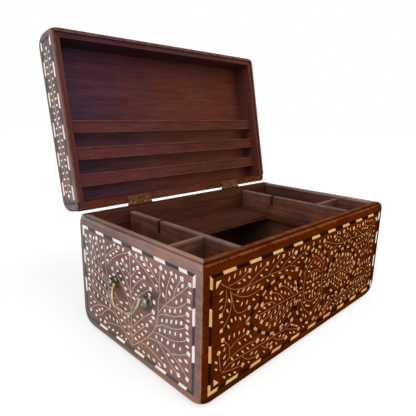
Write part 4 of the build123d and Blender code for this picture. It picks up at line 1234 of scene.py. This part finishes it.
def make_floor():
    corners = [(x * floor_reach, y * floor_reach, 0) for x, y in ((-1, -1), (1, -1), (1, 1), (-1, 1))]
    mesh = bpy.data.meshes.new("floor")
    mesh.from_pydata(corners, [], [(0, 1, 2, 3)])
    floor = put_in_scene("floor", mesh)
    material, nodes, shader, place = new_material("floor_paper")
    age = nodes.use(ageing, {"Place": place, **floor_ageing})
    nodes.fill(shader, {
        "Base Color": nodes.blend(age["Blotch"], (floor_paper,) * 3, (floor_paper + floor_change,) * 3),
        "Roughness": floor_roughness,
        specular: 0.0,
        "Emission Color": white,
        "Emission Strength": seen_directly(nodes) * floor_glow,
    })
    mesh.materials.append(material)


make_floor()

# World: white to the camera and in reflections, plain soft light elsewhere
ambient = 0.45


def make_world():
    world = bpy.data.worlds.new("studio")
    world.use_nodes = True
    nodes = Nodes(world.node_tree)
    background = next(node for node in world.node_tree.nodes if node.type == "BACKGROUND")
    strength = seen_directly(nodes).remap(0.0, 1.0, ambient, 1.0, "LINEAR")
    nodes.fill(background, {"Color": white, "Strength": strength})
    bpy.context.scene.world = world


make_world()

# Lights: two broad even ones, as from large windows
window_spread = math.radians(70)
windows = {
    "left_window": {"direction": (-1.0, -0.15, 0.75), "strength": 2.0, "tint": (0.95, 0.98, 1.0)},
    "front_window": {"direction": (0.45, -1.0, 0.75), "strength": 1.8, "tint": (1.0, 0.96, 0.90)},
}


def aimed(eye, target):
    direction = Vector(target) - Vector(eye)
    return direction.to_track_quat("-Z", "Y").to_matrix().to_4x4()


def soft_light(name, direction, strength, tint):
    lamp = bpy.data.lights.new(name, "SUN")
    lamp.angle = window_spread
    lamp.energy = strength
    lamp.color = tint
    holder = put_in_scene(name, lamp)
    holder.matrix_world = Matrix.Translation(Vector(direction)) @ aimed(direction, origin)


for name, window in windows.items():
    soft_light(name, **window)

# Camera at the photograph's angle
camera_eye = Vector((-0.48513, -0.40053, 0.32973))
camera_target = Vector((-0.08702, 0.0, 0.19136))
camera_roll = math.radians(1.141)
sensor_width = 36
focal_length = 33.977
nearest_seen = 10 * mm
lens = bpy.data.cameras.new("photo_view")
lens.sensor_width = sensor_width
lens.lens = focal_length
lens.clip_start = nearest_seen
camera = put_in_scene("photo_view", lens)
look = aimed(camera_eye, camera_target) @ Matrix.Rotation(camera_roll, 4, "Z")
camera.matrix_world = Matrix.Translation(camera_eye) @ look
bpy.context.scene.camera = camera
bpy.context.scene.view_settings.view_transform = "Standard"
